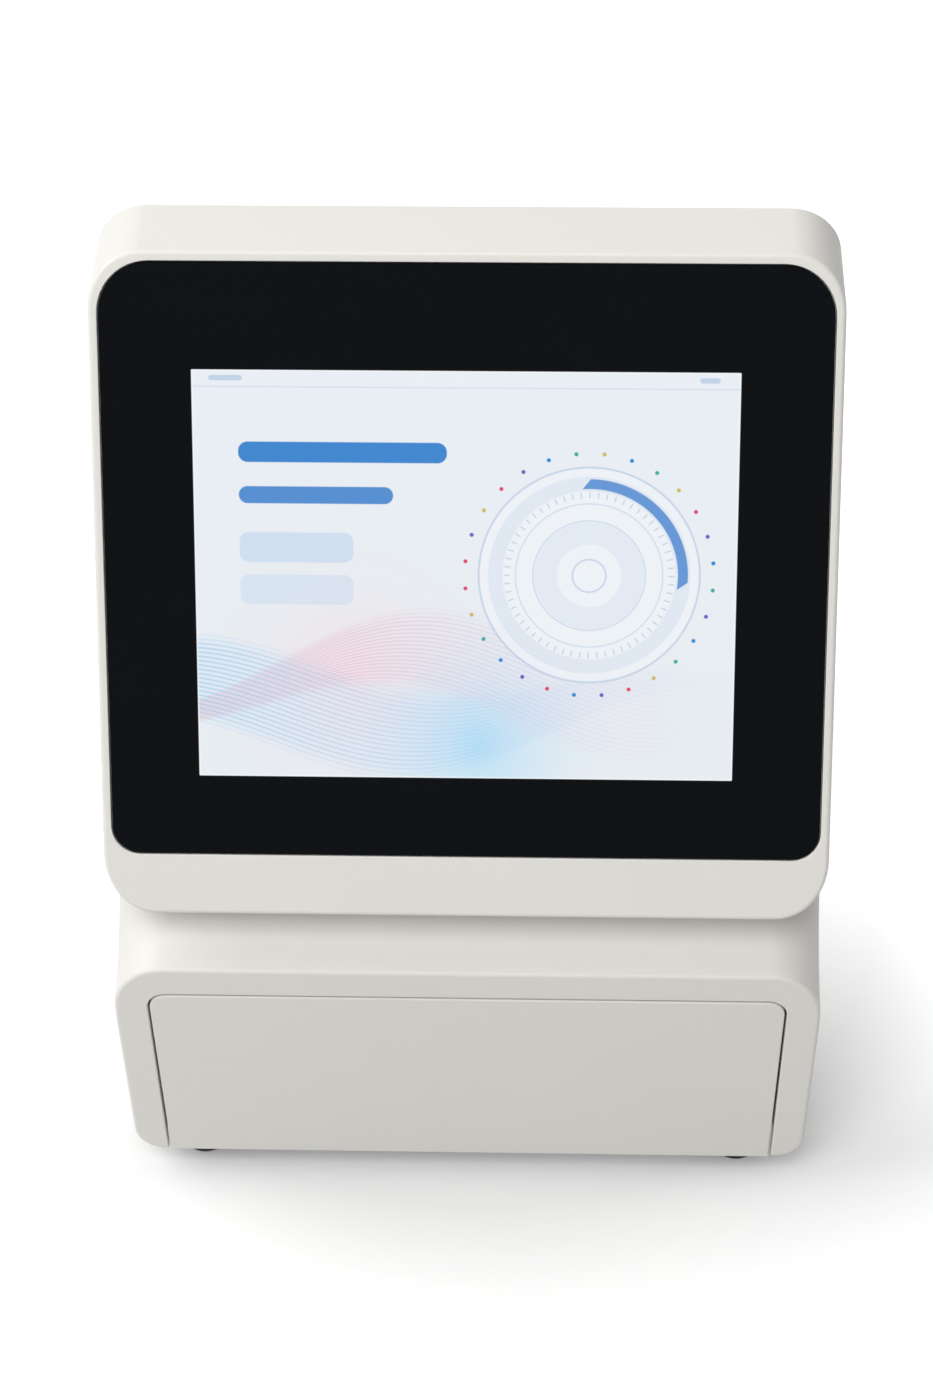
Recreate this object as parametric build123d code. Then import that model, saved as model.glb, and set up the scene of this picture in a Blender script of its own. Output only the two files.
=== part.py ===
from build123d import *
import os
from math import acos, atan2, cos, pi, radians, sin, tan

# Dry chemistry analyzer: a bench instrument that spins a reagent disc and reads it with light.
# A tilted touch screen sits over a concave neck, and a motor drawer in the base takes the disc.
# All sizes are in millimetres. x points right, z up from the table, and y back from the front
# face of the base. The parts are moved at the end, so that y = 0 is the middle of the depth.

# Outside of the housing
WIDTH = 222.6            # across the head and the upper base
SIDE_TAPER = 2.4         # the sides lean in by this much at the bottom edge
FOOT_WIDTH = WIDTH - 2 * SIDE_TAPER
DEPTH = 250.0            # base front to rear wall
FLOOR_Z = 10.0           # underside of the housing above the table
BASE_TOP = 93.2          # front edge between the base front and the neck
WAIST_Z = 70.0           # the sides taper in below this height
WAIST_R = 300.0          # soft bend of the sides at the waist
WALL = 3.0               # moulded wall
EDGE_R = 16.0            # rounding of the long side edges
BASE_CORNER_R = 9.0      # rounding of the bottom side edges
BASE_RIM_R = 1.4         # rounding round the base front
FACE_RIM_R = 1.4         # rounding round the tilted face
MOUTH_R = 0.5            # rounding of the edges round the drawer panel
RECESS_R = 0.3           # rounding of the edge round the cover glass

# Tilted face, measured along the face from the middle of the screen
FACE_TILT = 25.0
SCREEN_Y = 47.9
SCREEN_Z = 213.2
FACE_ABOVE = 97.4
FACE_BELOW = 108.6
FACE_WALL = 5.0
TOP_DEPTH = 23.8
TOP_SLOPE = 2.0

# Concave neck between the base and the chin
NECK_LEDGE = 13.7        # the ledge's bend, behind the base front
NECK_RISE = 5.0          # rise of the ledge up to its bend
NECK_SET = 24.4          # root of the neck, behind the base front
NECK_ROOF_RISE = 3.8     # rise of the chin's underside to the root
NECK_SWEEP_R = 31.0
NECK_ROOT_R = 3.0

# Rear cover
SEAM_STEP = 1.0          # the cover lies this far inside the front housing's outline
SHOULDER_Z = 177.8       # where the sloping back meets the rear wall
BACK_R = 30.0
TAB_WIDTH = 18.0
TAB_LENGTH = 8.0
TAB_WALL = 1.4
TAB_FIT = 0.4
TAB_HEIGHTS = (120.0, 230.0)
TAB_SPREAD = 60.0
VENT_SLOTS = 13
VENT_PITCH = 9.0
VENT_WIDTH = 3.0
VENT_LENGTH = 40.0
PORT_RECESS = 4.0        # depth of the recessed panel with the connectors
PORT_LEFT = 29.3 - WIDTH / 2
PORT_RIGHT = WIDTH / 2 - 35.3
PORT_LOW = 26.0
PORT_HIGH = 60.0
COVER_SCREW_X = WIDTH / 2 - 23.3
COVER_SCREW_Z = 26.0
COVER_BOSS_R = 4.5

# Cover glass and display
SCREEN_W = 162.0
SCREEN_H = 125.2
GLASS_SIDE = 3.2         # side of the head to the glass
GLASS_W = WIDTH - 2 * GLASS_SIDE
GLASS_ABOVE = 94.3
GLASS_BELOW = 87.7
GLASS_R_TOP = 15.2
GLASS_R_BOTTOM = 8.5
GLASS_T = 2.0
GLASS_GAP = 0.4
GLASS_SET = 0.2          # the glass lies this far below the rim
GASKET_T = 0.5
WINDOW_MARGIN = 3.0      # clear edge round the lit area
LCD_MARGIN = 9.0
LCD_T = 5.0
LCD_RIM = 0.6
BRACKET_T = 1.2
BRACKET_MARGIN = 5.5     # the bracket lies this far inside the glass outline
BRACKET_BOSS_R = 3.5
BRACKET_BOSS_GAP = 1.0   # display to the bosses beside it
BOARD_T = 1.6
BOARD_W = 150.0
BOARD_H = 96.0
BOARD_LIFT = 8.0         # standoffs between bracket and main board
BOARD_EDGE = 5.0         # board edge to its fixing holes
STANDOFF_R = 2.6
SPEAKER_R = 14.0
SPEAKER_BACK_R = 10.5
SPEAKER_T = 7.0
SPEAKER_AT = (70.0, -66.0)
SPEAKER_RIM = 1.0
HEAT_SINK = (36.0, 36.0, 10.0)
HEAT_SINK_AT = (-24.0, 6.0)
MEMORY = (14.0, 12.0, 1.4)
MEMORY_AT = ((22.0, 14.0), (22.0, -4.0))
SIDE_PLUG = (8.0, 26.0, 5.0)
SIDE_PLUG_AT = ((62.0, 20.0), (62.0, -20.0))
CABLE_PLUG = (40.0, 6.0, 6.0)
CABLE_PLUG_AT = (-16.0, -38.0)
SINK_FINS = 6
SINK_BASE = 0.25         # a heat sink's base, as a share of its height
FIN_SHARE = 0.33         # a fin, as a share of the fins' pitch

# Sheet steel chassis and feet
SHEET = 1.5
CHASSIS_GAP = 0.4
CHASSIS_TAB_Y = 5.5
CHASSIS_SLOTS = 5
CHASSIS_SLOT_PITCH = 13.5
CHASSIS_TAB_HALF = FOOT_WIDTH / 2 - 13.9
FLANGE_TOP = 34.0
FLANGE_OUT = FOOT_WIDTH / 2 - 12.9
FOOT_X = FOOT_WIDTH / 2 - 20.9
FOOT_Y = 14.5
REAR_FOOT_Y = DEPTH - 20.0
FOOT_TOP_R = 8.2
FOOT_R = 7.2
FOOT_BORE_R = 3.6
FOOT_SEAT = 3.0
BOSS_X = FOOT_WIDTH / 2 - 13.4
BOSS_R = 3.6
BOSS_WEB = 1.5
BOSS_TOP = 66.0
BOSS_ROWS = (34.0, 96.0)
SCREW_R = 1.5
SCREW_FIT = 0.1
SCREW_HEAD_R = 2.8
SCREW_HEAD_H = 1.8
SCREW_LENGTH = 8.0
SCREW_END = 1.0          # a screw reaches this far past a sheet
SINK_EDGE = 0.4          # clearance round a sunk screw head

# Drawer: front panel, tray and its disc pocket
PANEL_TOP = 81.9
PANEL_SIDE = 11.0         # side of the housing to the panel
PANEL_HALF_TOP = WIDTH / 2 - PANEL_SIDE
PANEL_HALF_FOOT = FOOT_WIDTH / 2 - PANEL_SIDE
PANEL_CORNER_R = 5.4
PANEL_T = 3.0
PANEL_GAP = 0.7
PANEL_RETURN = 12.0
PANEL_FLANGE = 2.0
PANEL_EDGE_R = 0.5
PANEL_RIB_Z = 68.0
PANEL_RIB_X = PANEL_HALF_FOOT - 8.0
PANEL_SCREW_X = 59.0
PANEL_SCREW_Z = (28.0, 48.0)
TRAY_HALF = 74.0
TRAY_TOP = 58.0
TRAY_T = 2.5
TRAY_SKIRT = 2.0
TRAY_END = 150.0
TRAY_LOW = 40.0
TRAY_FRONT_LOW = 20.0
POCKET_Y = 62.0
POCKET_R = 44.0
POCKET_FLOOR = 44.0
POCKET_WALL = 2.2
POCKET_EDGE = 0.8
SCOOP_R = 14.0
SCOOP_DEPTH = 9.0
TRAY_RIB_Y = 115.0
FLAG_X = -60.0
FLAG_T = 1.6
FLAG_L = 12.0
FLAG_LOW = 32.0
RING_T = 2.0
RING_INNER_R = 14.5
RING_GAP = 1.0
HUB_R = 12.0
HUB_BASE = 46.6
HUB_PLATE = 2.0
HUB_NECK_R = 5.0
HUB_TOP = 53.0
HUB_LUGS = 3
LUG_R = 1.6
LUG_PLACE_R = 7.5
SHAFT_R = 2.0
SHAFT_FIT = 0.05         # running clearance of every shaft
SHAFT_HOLE_R = 6.0
MOTOR_R = 18.0
MOTOR_H = 19.0
MOTOR_SCREW_R = 9.0
MOTOR_SCREWS = 3
MOTOR_EDGE = 1.5

# Ball slides on both sides of the tray
RAIL_START = 8.0
RAIL_LENGTH = 160.0
RAIL_Z = 48.0
RAIL_T = 1.2
OUTER_HALF_H = 10.6
INNER_HALF_H = 6.8
RAIL_FLANGE = 7.0
RAIL_WIDTH = 10.4        # tray skirt to rail bracket
BALL_R = 1.6
BALL_FIT = 0.1
CAGE_T = 0.5
CAGE_GAP = 0.9
CAGE_START = 65.0
CAGE_LENGTH = 46.0
BALLS_PER_ROW = 4
BRACKET_OPENINGS = 3
BRACKET_OPENING_H = 12.0

# Rack drive
GEAR_MODULE = 1.0
DEDENDUM = 1.25          # depth of a tooth below the pitch line, in modules
PINION_TEETH = 16
PRESSURE_ANGLE = 20.0
BACKLASH = 0.2
PINION_Y = 30.0
PINION_Z = 26.0
PINION_W = 7.0
RACK_X = 37.0
RACK_W = 6.0
RACK_TEETH = 41
RACK_TEETH_AHEAD = 4
DRIVE_PLATE_GAP = 1.0
DRIVE_PLATE_TOP = 39.5
DRIVE_PLATE_HALF = 14.0
GEARBOX_R = 12.0
GEARBOX_L = 14.0
DRIVE_MOTOR_R = 10.0
DRIVE_MOTOR_L = 24.0

# Optics over and under the rim of the disc
BRIDGE_Z = 64.0
BRIDGE_HALF = 91.0
BRIDGE_START = 20.0
BRIDGE_END = 172.0
HEATER_T = 3.0
HEATER_R = 42.0
READ_R = 37.0            # radius of the cuvettes on the disc
BEAM_R = 4.0
LENS_R = 6.0
LENS_T = 3.0
LENS_SEAT = 2.5
BLOCK_HALF = 26.0
BLOCK_FRONT = 14.0
BLOCK_BACK = 40.0
BLOCK_H = 30.0
LAMP_R = 11.0
LAMP_L = 28.0
LAMP_LIFT = 15.5
LAMP_BORE_R = 7.5
READER_AT = (-34.0, 54.0)
READER_W = 26.0
READER_D = 20.0
READER_H = 15.0
READER_R = 5.0
DETECTOR_HALF = 13.0
DETECTOR_TOP = 38.5
DETECTOR_FLOOR = 23.0
DETECTOR_BOARD_HALF = 15.0
SENSOR_HALF = 6.0
SENSOR_TOP = 39.0
SENSOR_GAP = 0.9
SENSOR_DEPTH = 10.0

# Rear fittings: places are x and z of their middles
INLET_AT = (-66.0, 43.0)
INLET_W = 27.0
INLET_H = 20.0
INLET_FLANGE = 2.0
INLET_RIM = 2.0
INLET_L = 18.0
SOCKET_W = 23.0
SOCKET_H = 16.0
SOCKET_L = 14.0
SOCKET_BEVEL = 4.0
PIN_W = 2.0
PIN_H = 4.0
PIN_SET = 4.0            # the pins end this far inside the mouth
PIN_AT = ((-7.0, -1.5), (0.0, 2.5), (7.0, -1.5))
SWITCH_AT = (-34.0, 43.0)
SWITCH_W = 13.0
SWITCH_H = 19.0
SWITCH_L = 14.0
SWITCH_WALL = 1.2
ROCKER_GAP = 0.4
ROCKER_ANGLE = 10.0
ROCKER_PIN_R = 1.5
ROCKER_PIN_REACH = 1.0
ROCKER_DEPTH = 3.5
ROCKER_END = 1.0
USB_X = (8.0, 28.0)
USB_W = 13.2
USB_H = 6.0
USB_L = 15.0
USB_WALL = 0.5
USB_FLOOR = 3.0
TONGUE_W = 10.2
TONGUE_T = 1.6
TONGUE_RISE = 1.0
NETWORK_X = 54.0
NETWORK_W = 16.0
NETWORK_H = 13.5
NETWORK_L = 21.0
PLUG_W = 11.8
PLUG_H = 7.0
PLUG_L = 14.0
PLUG_RISE = 1.0
LATCH_W = 5.0
LATCH_H = 3.2
PORT_FIT = 0.5
PORT_BOARD_Z = 29.0
PORT_BOARD_X = (-8.0, 72.0)
PORT_BOARD_Y = (DEPTH - 45.0, DEPTH - 9.0)
POWER_BOARD_Z = 17.5
POWER_BOARD_X = (-92.0, -8.0)
POWER_BOARD_Y = (DEPTH - 79.0, DEPTH - 25.0)
TRANSFORMER = (26.0, 24.0, 18.0)
WINDING = (18.0, 30.0, 12.0)
TRANSFORMER_AT = (-64.0, POWER_BOARD_Y[0] + 27.0)
CAPACITOR_R = 8.0
CAPACITOR_L = 26.0
CAPACITOR_AT = (-46.0, POWER_BOARD_Y[0] + 43.0)
POWER_SINK = (22.0, 18.0, 20.0)
POWER_SINK_AT = (-32.0, POWER_BOARD_Y[0] + 21.0)
POWER_SINK_FINS = 4
TERMINAL = (34.0, 8.0, 10.0)
TERMINAL_AT = (-50.0, POWER_BOARD_Y[0] + 5.5)
FAN_Z = 112.0
FAN_SIZE = 60.0
FAN_T = 15.0
FAN_BORE_R = 28.0
FAN_CORNER_R = 4.0
FAN_HUB_R = 12.0
FAN_HUB_L = 9.0
FAN_PIN_R = 2.0
FAN_PIN_L = 10.0
FAN_STRUT_W = 3.0
FAN_STRUT_T = 2.0
FAN_BLADES = 7
FAN_BLADE_T = 1.4
FAN_BLADE_TWIST = 38.0
FAN_GAP = 1.0
FAN_HOLES = 25.0         # the fixing holes lie this far from its middle both ways
GRILLE_R = 27.0
GRILLE_SLOTS = 8
GRILLE_BAR = 2.4

TILT = radians(FACE_TILT)
CHASSIS_TOP = FLOOR_Z + SHEET
READ_Y = POCKET_Y + READ_R
PITCH_R = GEAR_MODULE * PINION_TEETH / 2
TOOTH_PITCH = pi * GEAR_MODULE
PORT_FACE = DEPTH - PORT_RECESS
FACE = Plane(origin=(0, SCREEN_Y, SCREEN_Z), x_dir=(1, 0, 0), z_dir=(0, -cos(TILT), sin(TILT)))


def on_face(up):
    """y and z of a point on the tilted face, this far up it from the middle of the screen."""
    return SCREEN_Y + up * sin(TILT), SCREEN_Z + up * cos(TILT)


SEAM_Y = on_face(FACE_ABOVE)[0] + TOP_DEPTH
SEAM_TOP = on_face(FACE_ABOVE)[1] + TOP_DEPTH * tan(radians(TOP_SLOPE))
BACK_SLOPE = atan2(SEAM_TOP - SEAM_STEP - SHOULDER_Z, DEPTH - SEAM_Y)


# Plain shapes between named limits

def block(x0, x1, y0, y1, z0, z1):
    """Box between two corners."""
    size = Box(x1 - x0, y1 - y0, z1 - z0, align=(Align.MIN, Align.MIN, Align.MIN))
    return Pos(x0, y0, z0) * size


def post(x, y, z0, z1, radius, top_radius=None):
    """Upright round post, or a cone where its top has another radius."""
    place = Pos(x, y, z0)
    align = (Align.CENTER, Align.CENTER, Align.MIN)
    if top_radius is None:
        return place * Cylinder(radius, z1 - z0, align=align)
    return place * Cone(radius, top_radius, z1 - z0, align=align)


def rod_y(x, z, y0, y1, radius):
    """Round rod that runs from front to back."""
    return Pos(x, y0, z) * Rot(-90, 0, 0) * post(0, 0, 0, y1 - y0, radius)


def rod_x(y, z, x0, x1, radius):
    """Round rod that runs from left to right."""
    return Pos(x0, y, z) * Rot(0, 90, 0) * post(0, 0, 0, x1 - x0, radius)


def left_of(part):
    """The mirror image of a part on the other side of the instrument."""
    return mirror(part, Plane.YZ)


def corners(x, y):
    """The four places at plus and minus x, plus and minus y."""
    return [(sx * x, sy * y) for sx in (-1, 1) for sy in (-1, 1)]


def group(solids):
    """Separate solids in one node."""
    return Compound(children=list(solids))


def pan_screw(length):
    """Screw with its head above z = 0 and its shank below."""
    return post(0, 0, 0, SCREW_HEAD_H, SCREW_HEAD_R) + post(0, 0, -length, 0, SCREW_R)


def round_corner(sketch, corner, radius):
    """Round the corner of a flat outline that lies nearest to a point."""
    nearest = sketch.vertices().sort_by_distance((corner[0], corner[1], 0))[0]
    return fillet(nearest, radius)


# Housing

def front_profile(back, bottom):
    """Side view of the front housing: base front, concave neck, tilted face and short top."""
    chin = on_face(-FACE_BELOW)
    brow = on_face(FACE_ABOVE)
    bend = (NECK_LEDGE, BASE_TOP + NECK_RISE)
    root = (NECK_SET, chin[1] + NECK_ROOF_RISE)
    top_back = (back, brow[1] + (back - brow[0]) * tan(radians(TOP_SLOPE)))
    points = [(0, bottom), (0, BASE_TOP), bend, root, chin, brow, top_back, (back, bottom)]
    outline = make_face(Polyline(*points, close=True))
    outline = round_corner(outline, bend, NECK_SWEEP_R)
    return round_corner(outline, root, NECK_ROOT_R)


def cover_profile(front):
    """Side view of the rear cover: the back falls from the seam to an upright rear wall."""
    fall = tan(BACK_SLOPE)
    seam_top = SEAM_TOP - SEAM_STEP
    top_front = (front, seam_top + (SEAM_Y - front) * fall)
    shoulder = (DEPTH, SHOULDER_Z)
    points = [(front, FLOOR_Z), top_front, shoulder, (DEPTH, FLOOR_Z)]
    return round_corner(make_face(Polyline(*points, close=True)), shoulder, BACK_R)


def front_view(inset, bottom):
    """Front view of the housing: upright sides that taper in below a soft waist."""
    half = WIDTH / 2 - inset
    taper = (WIDTH - FOOT_WIDTH) / 2 / (WAIST_Z - FLOOR_Z)
    foot = half - taper * (WAIST_Z - bottom)
    top = SEAM_TOP + DEPTH
    points = [(-foot, bottom), (foot, bottom), (half, WAIST_Z), (half, top), (-half, top), (-half, WAIST_Z)]
    outline = make_face(Polyline(*points, close=True))
    for side in (-1, 1):
        outline = round_corner(outline, (side * half, WAIST_Z), WAIST_R)
    return outline


def housing_block(profile, view, radius, is_soft):
    """A side view spread across the width, trimmed to a front view, with soft long edges."""
    solid = extrude(Plane.YZ * profile, amount=WIDTH, both=True)
    solid &= Pos(0, -DEPTH, 0) * extrude(Plane.XZ * view, amount=-3 * DEPTH)

    def is_long(edge):
        middle = edge @ 0.5
        at_side = abs(middle.X) > FOOT_WIDTH / 2 - 2 * WALL
        return at_side and abs((edge % 0.5).X) < 0.5 and is_soft(middle)

    return fillet(solid.edges().filter_by(is_long), radius)


def front_block(inset):
    """The front housing's outer form, or the hollow inside it."""
    profile = front_profile(SEAM_Y + 2 * inset, FLOOR_Z - 2 * inset)
    if inset:
        profile = offset(profile, -inset, kind=Kind.INTERSECTION)
    view = front_view(inset, FLOOR_Z + inset)
    for side in (-1, 1):
        view = round_corner(view, (side * FOOT_WIDTH / 2, FLOOR_Z), BASE_CORNER_R - inset)
    brow_z = on_face(FACE_ABOVE)[1]
    root_z = on_face(-FACE_BELOW)[1] + NECK_ROOF_RISE

    def is_soft(middle):
        on_top = middle.Z > brow_z - 2 * inset - 1
        by_height = BASE_TOP - inset < middle.Z < root_z + inset + 1
        return on_top or (by_height and 0 < middle.Y - inset < NECK_SET)

    return housing_block(profile, view, EDGE_R - inset, is_soft)


def cover_block(inset):
    """The rear cover's outer form, or the hollow inside it."""
    front = SEAM_Y - 2 * inset
    profile = cover_profile(front)
    if inset:
        profile = offset(profile, -inset, kind=Kind.INTERSECTION)

    def is_soft(middle):
        return middle.Y > front + inset + 1 and middle.Z > FLOOR_Z + inset + 1

    view = front_view(SEAM_STEP + inset, 0)
    solid = housing_block(profile, view, EDGE_R - inset, is_soft)
    under = solid.faces().sort_by(Axis.Z)[0]
    rim = [edge for edge in under.edges() if (edge @ 0.5).Y > front + inset + 1]
    return fillet(rim, BASE_CORNER_R - inset)


def floor_opening():
    """The opening in the underside that the chassis closes."""
    half = FOOT_WIDTH / 2 - BASE_CORNER_R
    return block(-half, half, WALL, DEPTH - BASE_CORNER_R, 0, FLOOR_Z + 2 * WALL)


def housing_boss(side, y):
    """Screw boss that stands on the chassis, webbed to the side wall."""
    boss = post(BOSS_X, y, CHASSIS_TOP, BOSS_TOP, BOSS_R)
    web_low = FLOOR_Z + BASE_CORNER_R
    web = block(BOSS_X, WIDTH / 2 - WALL, y - BOSS_WEB / 2, y + BOSS_WEB / 2, web_low, BOSS_TOP)
    bore = post(BOSS_X, y, 0, CHASSIS_TOP + SCREW_LENGTH, SCREW_R + SCREW_FIT)
    boss = boss + web - bore
    return boss if side > 0 else left_of(boss)


def front_housing():
    """One moulding: screen surround, concave neck and the surround of the drawer."""
    shell = front_block(0)
    base_front = shell.faces().sort_by(Axis.Y)[0]
    shell = fillet(base_front.edges(), BASE_RIM_R)
    shell = fillet(tilted_face(shell).edges(), FACE_RIM_R)
    face_slab = FACE * Pos(0, 0, -FACE_WALL / 2) * Box(2 * WIDTH, 2 * WIDTH, FACE_WALL)
    shell -= front_block(WALL) - face_slab
    shell -= floor_opening()
    shell -= Pos(0, -WALL, 0) * extrude(Plane.XZ * panel_outline(PANEL_GAP), amount=-3 * WALL)
    shell = fillet(drawer_mouth(shell), MOUTH_R)
    recess = GLASS_SET + GLASS_T + GASKET_T
    shell -= FACE * Pos(0, 0, -recess) * extrude(glass_outline(GLASS_GAP), amount=2 * recess)
    shell = fillet(tilted_face(shell).inner_wires()[0].edges(), RECESS_R)
    shell -= FACE * window(4 * FACE_WALL)
    for u, w in bracket_places():
        boss = post(u, w, -FACE_WALL - LCD_T, -FACE_WALL, BRACKET_BOSS_R)
        boss -= post(u, w, -FACE_WALL - LCD_T, -FACE_WALL, SCREW_R + SCREW_FIT)
        shell += FACE * boss
    for y in BOSS_ROWS:
        for side in (-1, 1):
            shell += housing_boss(side, y)
    return shell


def drawer_mouth(shell):
    """The outer edges round the opening for the drawer panel."""
    front = shell.faces().sort_by(Axis.Y)[0]
    reach = PANEL_HALF_TOP + 2 * PANEL_GAP
    top = PANEL_TOP + 2 * PANEL_GAP
    return [e for e in front.edges() if abs((e @ 0.5).X) < reach and (e @ 0.5).Z < top]


def tilted_face(shell):
    """The flat face that holds the cover glass."""
    def is_parallel(face):
        return (face.normal_at() - FACE.z_dir).length < 0.01

    return shell.faces().filter_by(is_parallel).sort_by(Axis(FACE.origin, FACE.z_dir))[-1]


def rear_cover():
    """Rear shell with air slots, a fan grille and a recessed panel for the connectors."""
    shell = cover_block(0) - cover_block(WALL) - floor_opening()
    pocket = block(PORT_LEFT, PORT_RIGHT, PORT_FACE, DEPTH + 1, PORT_LOW, PORT_HIGH)
    shell += block(PORT_LEFT - WALL, PORT_RIGHT + WALL, PORT_FACE - WALL, DEPTH - WALL / 2,
                   PORT_LOW - WALL, PORT_HIGH + WALL)
    shell -= pocket
    for side in (-1, 1):
        x = side * COVER_SCREW_X
        shell += rod_y(x, COVER_SCREW_Z, rear_flange_y(), DEPTH - WALL, COVER_BOSS_R)
        shell -= rod_y(x, COVER_SCREW_Z, 0, DEPTH, SCREW_R + SCREW_FIT)
        shell -= rod_y(x, COVER_SCREW_Z, DEPTH - WALL, DEPTH, SCREW_HEAD_R + SINK_EDGE)
    for x, z in corners(FAN_HOLES, FAN_HOLES):
        shell -= rod_y(x, FAN_Z + z, DEPTH - WALL, DEPTH - WALL / 2, SCREW_R + SCREW_FIT)
    shell -= rear_openings()
    shell -= air_slots()
    shell -= fan_grille()
    return shell + cover_tabs()


def rear_flange_y():
    """Outer face of the chassis tabs that the rear cover is screwed to."""
    return DEPTH - BASE_CORNER_R - CHASSIS_GAP


def rear_openings():
    """Openings for the inlet, the switch and the sockets."""
    y0 = PORT_FACE - 2 * WALL
    y1 = DEPTH
    cuts = centred_block(INLET_AT, INLET_W + PORT_FIT, INLET_H + PORT_FIT, y0, y1)
    cuts += centred_block(SWITCH_AT, SWITCH_W + PORT_FIT, SWITCH_H + PORT_FIT, y0, y1)
    for x in USB_X:
        cuts += centred_block(usb_middle(x), USB_W + PORT_FIT, USB_H + PORT_FIT, y0, y1)
    cuts += centred_block(network_middle(), NETWORK_W + PORT_FIT, NETWORK_H + PORT_FIT, y0, y1)
    return cuts


def centred_block(middle, width, height, y0, y1):
    """Block round a middle given as x and z."""
    x, z = middle
    return block(x - width / 2, x + width / 2, y0, y1, z - height / 2, z + height / 2)


def air_slots():
    """Row of slots through the sloping back."""
    slope = BACK_SLOPE
    middle_y = (SEAM_Y + DEPTH) / 2
    middle_z = (SEAM_TOP - SEAM_STEP + SHOULDER_Z) / 2
    back = Plane(origin=(0, middle_y, middle_z), x_dir=(1, 0, 0), z_dir=(0, sin(slope), cos(slope)))
    slot = extrude(Rot(0, 0, 90) * SlotOverall(VENT_LENGTH, VENT_WIDTH), amount=2 * WALL, both=True)
    first = -(VENT_SLOTS - 1) / 2
    return [back * Pos((first + i) * VENT_PITCH, 0, 0) * slot for i in range(VENT_SLOTS)]


def fan_grille():
    """Level slots that fill a circle in front of the fan."""
    pitch = 2 * GRILLE_R / GRILLE_SLOTS
    circle = rod_y(0, FAN_Z, DEPTH - 2 * WALL, DEPTH + 1, GRILLE_R)
    low = FAN_Z - GRILLE_R + GRILLE_BAR / 2
    slots = []
    for i in range(GRILLE_SLOTS):
        z = low + i * pitch
        slots.append(circle & block(-WIDTH, WIDTH, 0, DEPTH + 1, z, z + pitch - GRILLE_BAR))
    return slots


def cover_tabs():
    """Tabs that slip inside the walls of the front housing."""
    outer = WIDTH / 2 - WALL - TAB_FIT
    tabs = []
    for z in TAB_HEIGHTS:
        tab = block(outer - TAB_WALL, outer, SEAM_Y - TAB_LENGTH, SEAM_Y + TAB_LENGTH,
                    z - TAB_WIDTH / 2, z + TAB_WIDTH / 2)
        tabs += [tab, left_of(tab)]
    top = SEAM_TOP - WALL - 2 * TAB_FIT
    for x in (-TAB_SPREAD, 0, TAB_SPREAD):
        tabs.append(block(x - TAB_WIDTH / 2, x + TAB_WIDTH / 2, SEAM_Y - TAB_LENGTH, SEAM_Y + TAB_WALL,
                          top - TAB_WALL, top))
    return tabs


# Cover glass, display and main board, all placed on the tilted face

def glass_outline(grow):
    """Outline of the cover glass, made larger or smaller all round."""
    half = GLASS_W / 2 + grow
    top = GLASS_ABOVE + grow
    bottom = -GLASS_BELOW - grow
    outline = make_face(Polyline((-half, bottom), (half, bottom), (half, top), (-half, top), close=True))
    for side in (-1, 1):
        outline = round_corner(outline, (side * half, top), GLASS_R_TOP + grow)
        outline = round_corner(outline, (side * half, bottom), GLASS_R_BOTTOM + grow)
    return outline


def window(depth):
    """Clear opening round the lit area."""
    return Box(SCREEN_W + 2 * WINDOW_MARGIN, SCREEN_H + 2 * WINDOW_MARGIN, depth)


def cover_glass():
    """Flat glass with the touch sensor behind it."""
    glass = Pos(0, 0, -GLASS_SET - GLASS_T) * extrude(glass_outline(0), amount=GLASS_T)
    rim = glass.edges().group_by(Axis.Z)[-1]
    return FACE * chamfer(rim, GLASS_SET)


def glass_gasket():
    """Foam frame that bonds the glass to the housing."""
    top = -GLASS_SET - GLASS_T
    frame = Pos(0, 0, top - GASKET_T) * extrude(glass_outline(0), amount=GASKET_T)
    return FACE * (frame - window(2 * FACE_WALL))


def lcd_panel():
    """Display module with a raised metal rim."""
    width = SCREEN_W + 2 * LCD_MARGIN
    height = SCREEN_H + 2 * LCD_MARGIN
    body = Pos(0, 0, -FACE_WALL - LCD_T / 2) * Box(width, height, LCD_T)
    lit = Pos(0, 0, -FACE_WALL) * Box(SCREEN_W, SCREEN_H, 2 * LCD_RIM)
    return FACE * (body - lit)


def bracket_places():
    """Fixing points of the display bracket."""
    return corners(SCREEN_W / 2 + LCD_MARGIN + BRACKET_BOSS_R + BRACKET_BOSS_GAP, SCREEN_H / 2)


def bracket_back():
    """Depth of the bracket's rear face under the tilted face."""
    return FACE_WALL + LCD_T + BRACKET_T


def lcd_bracket():
    """Sheet plate that holds the display against the housing, with windows cut out."""
    plate = Pos(0, 0, -bracket_back()) * extrude(glass_outline(-BRACKET_MARGIN), amount=BRACKET_T)
    width = SCREEN_W / 2 - 2 * LCD_MARGIN
    height = SCREEN_H / 2 - 2 * LCD_MARGIN
    opening = extrude(RectangleRounded(width, height, LCD_MARGIN / 2), amount=BRACKET_T)
    for u, w in corners(SCREEN_W / 4, SCREEN_H / 4):
        plate -= Pos(u, w, -bracket_back()) * opening
    for u, w in bracket_places():
        plate -= post(u, w, -bracket_back(), 0, SCREW_R + SCREW_FIT)
    return FACE * plate


def bracket_screws():
    """Screws through the bracket into the bosses of the housing."""
    screw = Rot(180, 0, 0) * pan_screw(BRACKET_T + LCD_T)
    return group(FACE * Pos(u, w, -bracket_back()) * screw for u, w in bracket_places())


def board_places():
    """Fixing points of the main board."""
    return corners(BOARD_W / 2 - BOARD_EDGE, BOARD_H / 2 - BOARD_EDGE)


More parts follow.
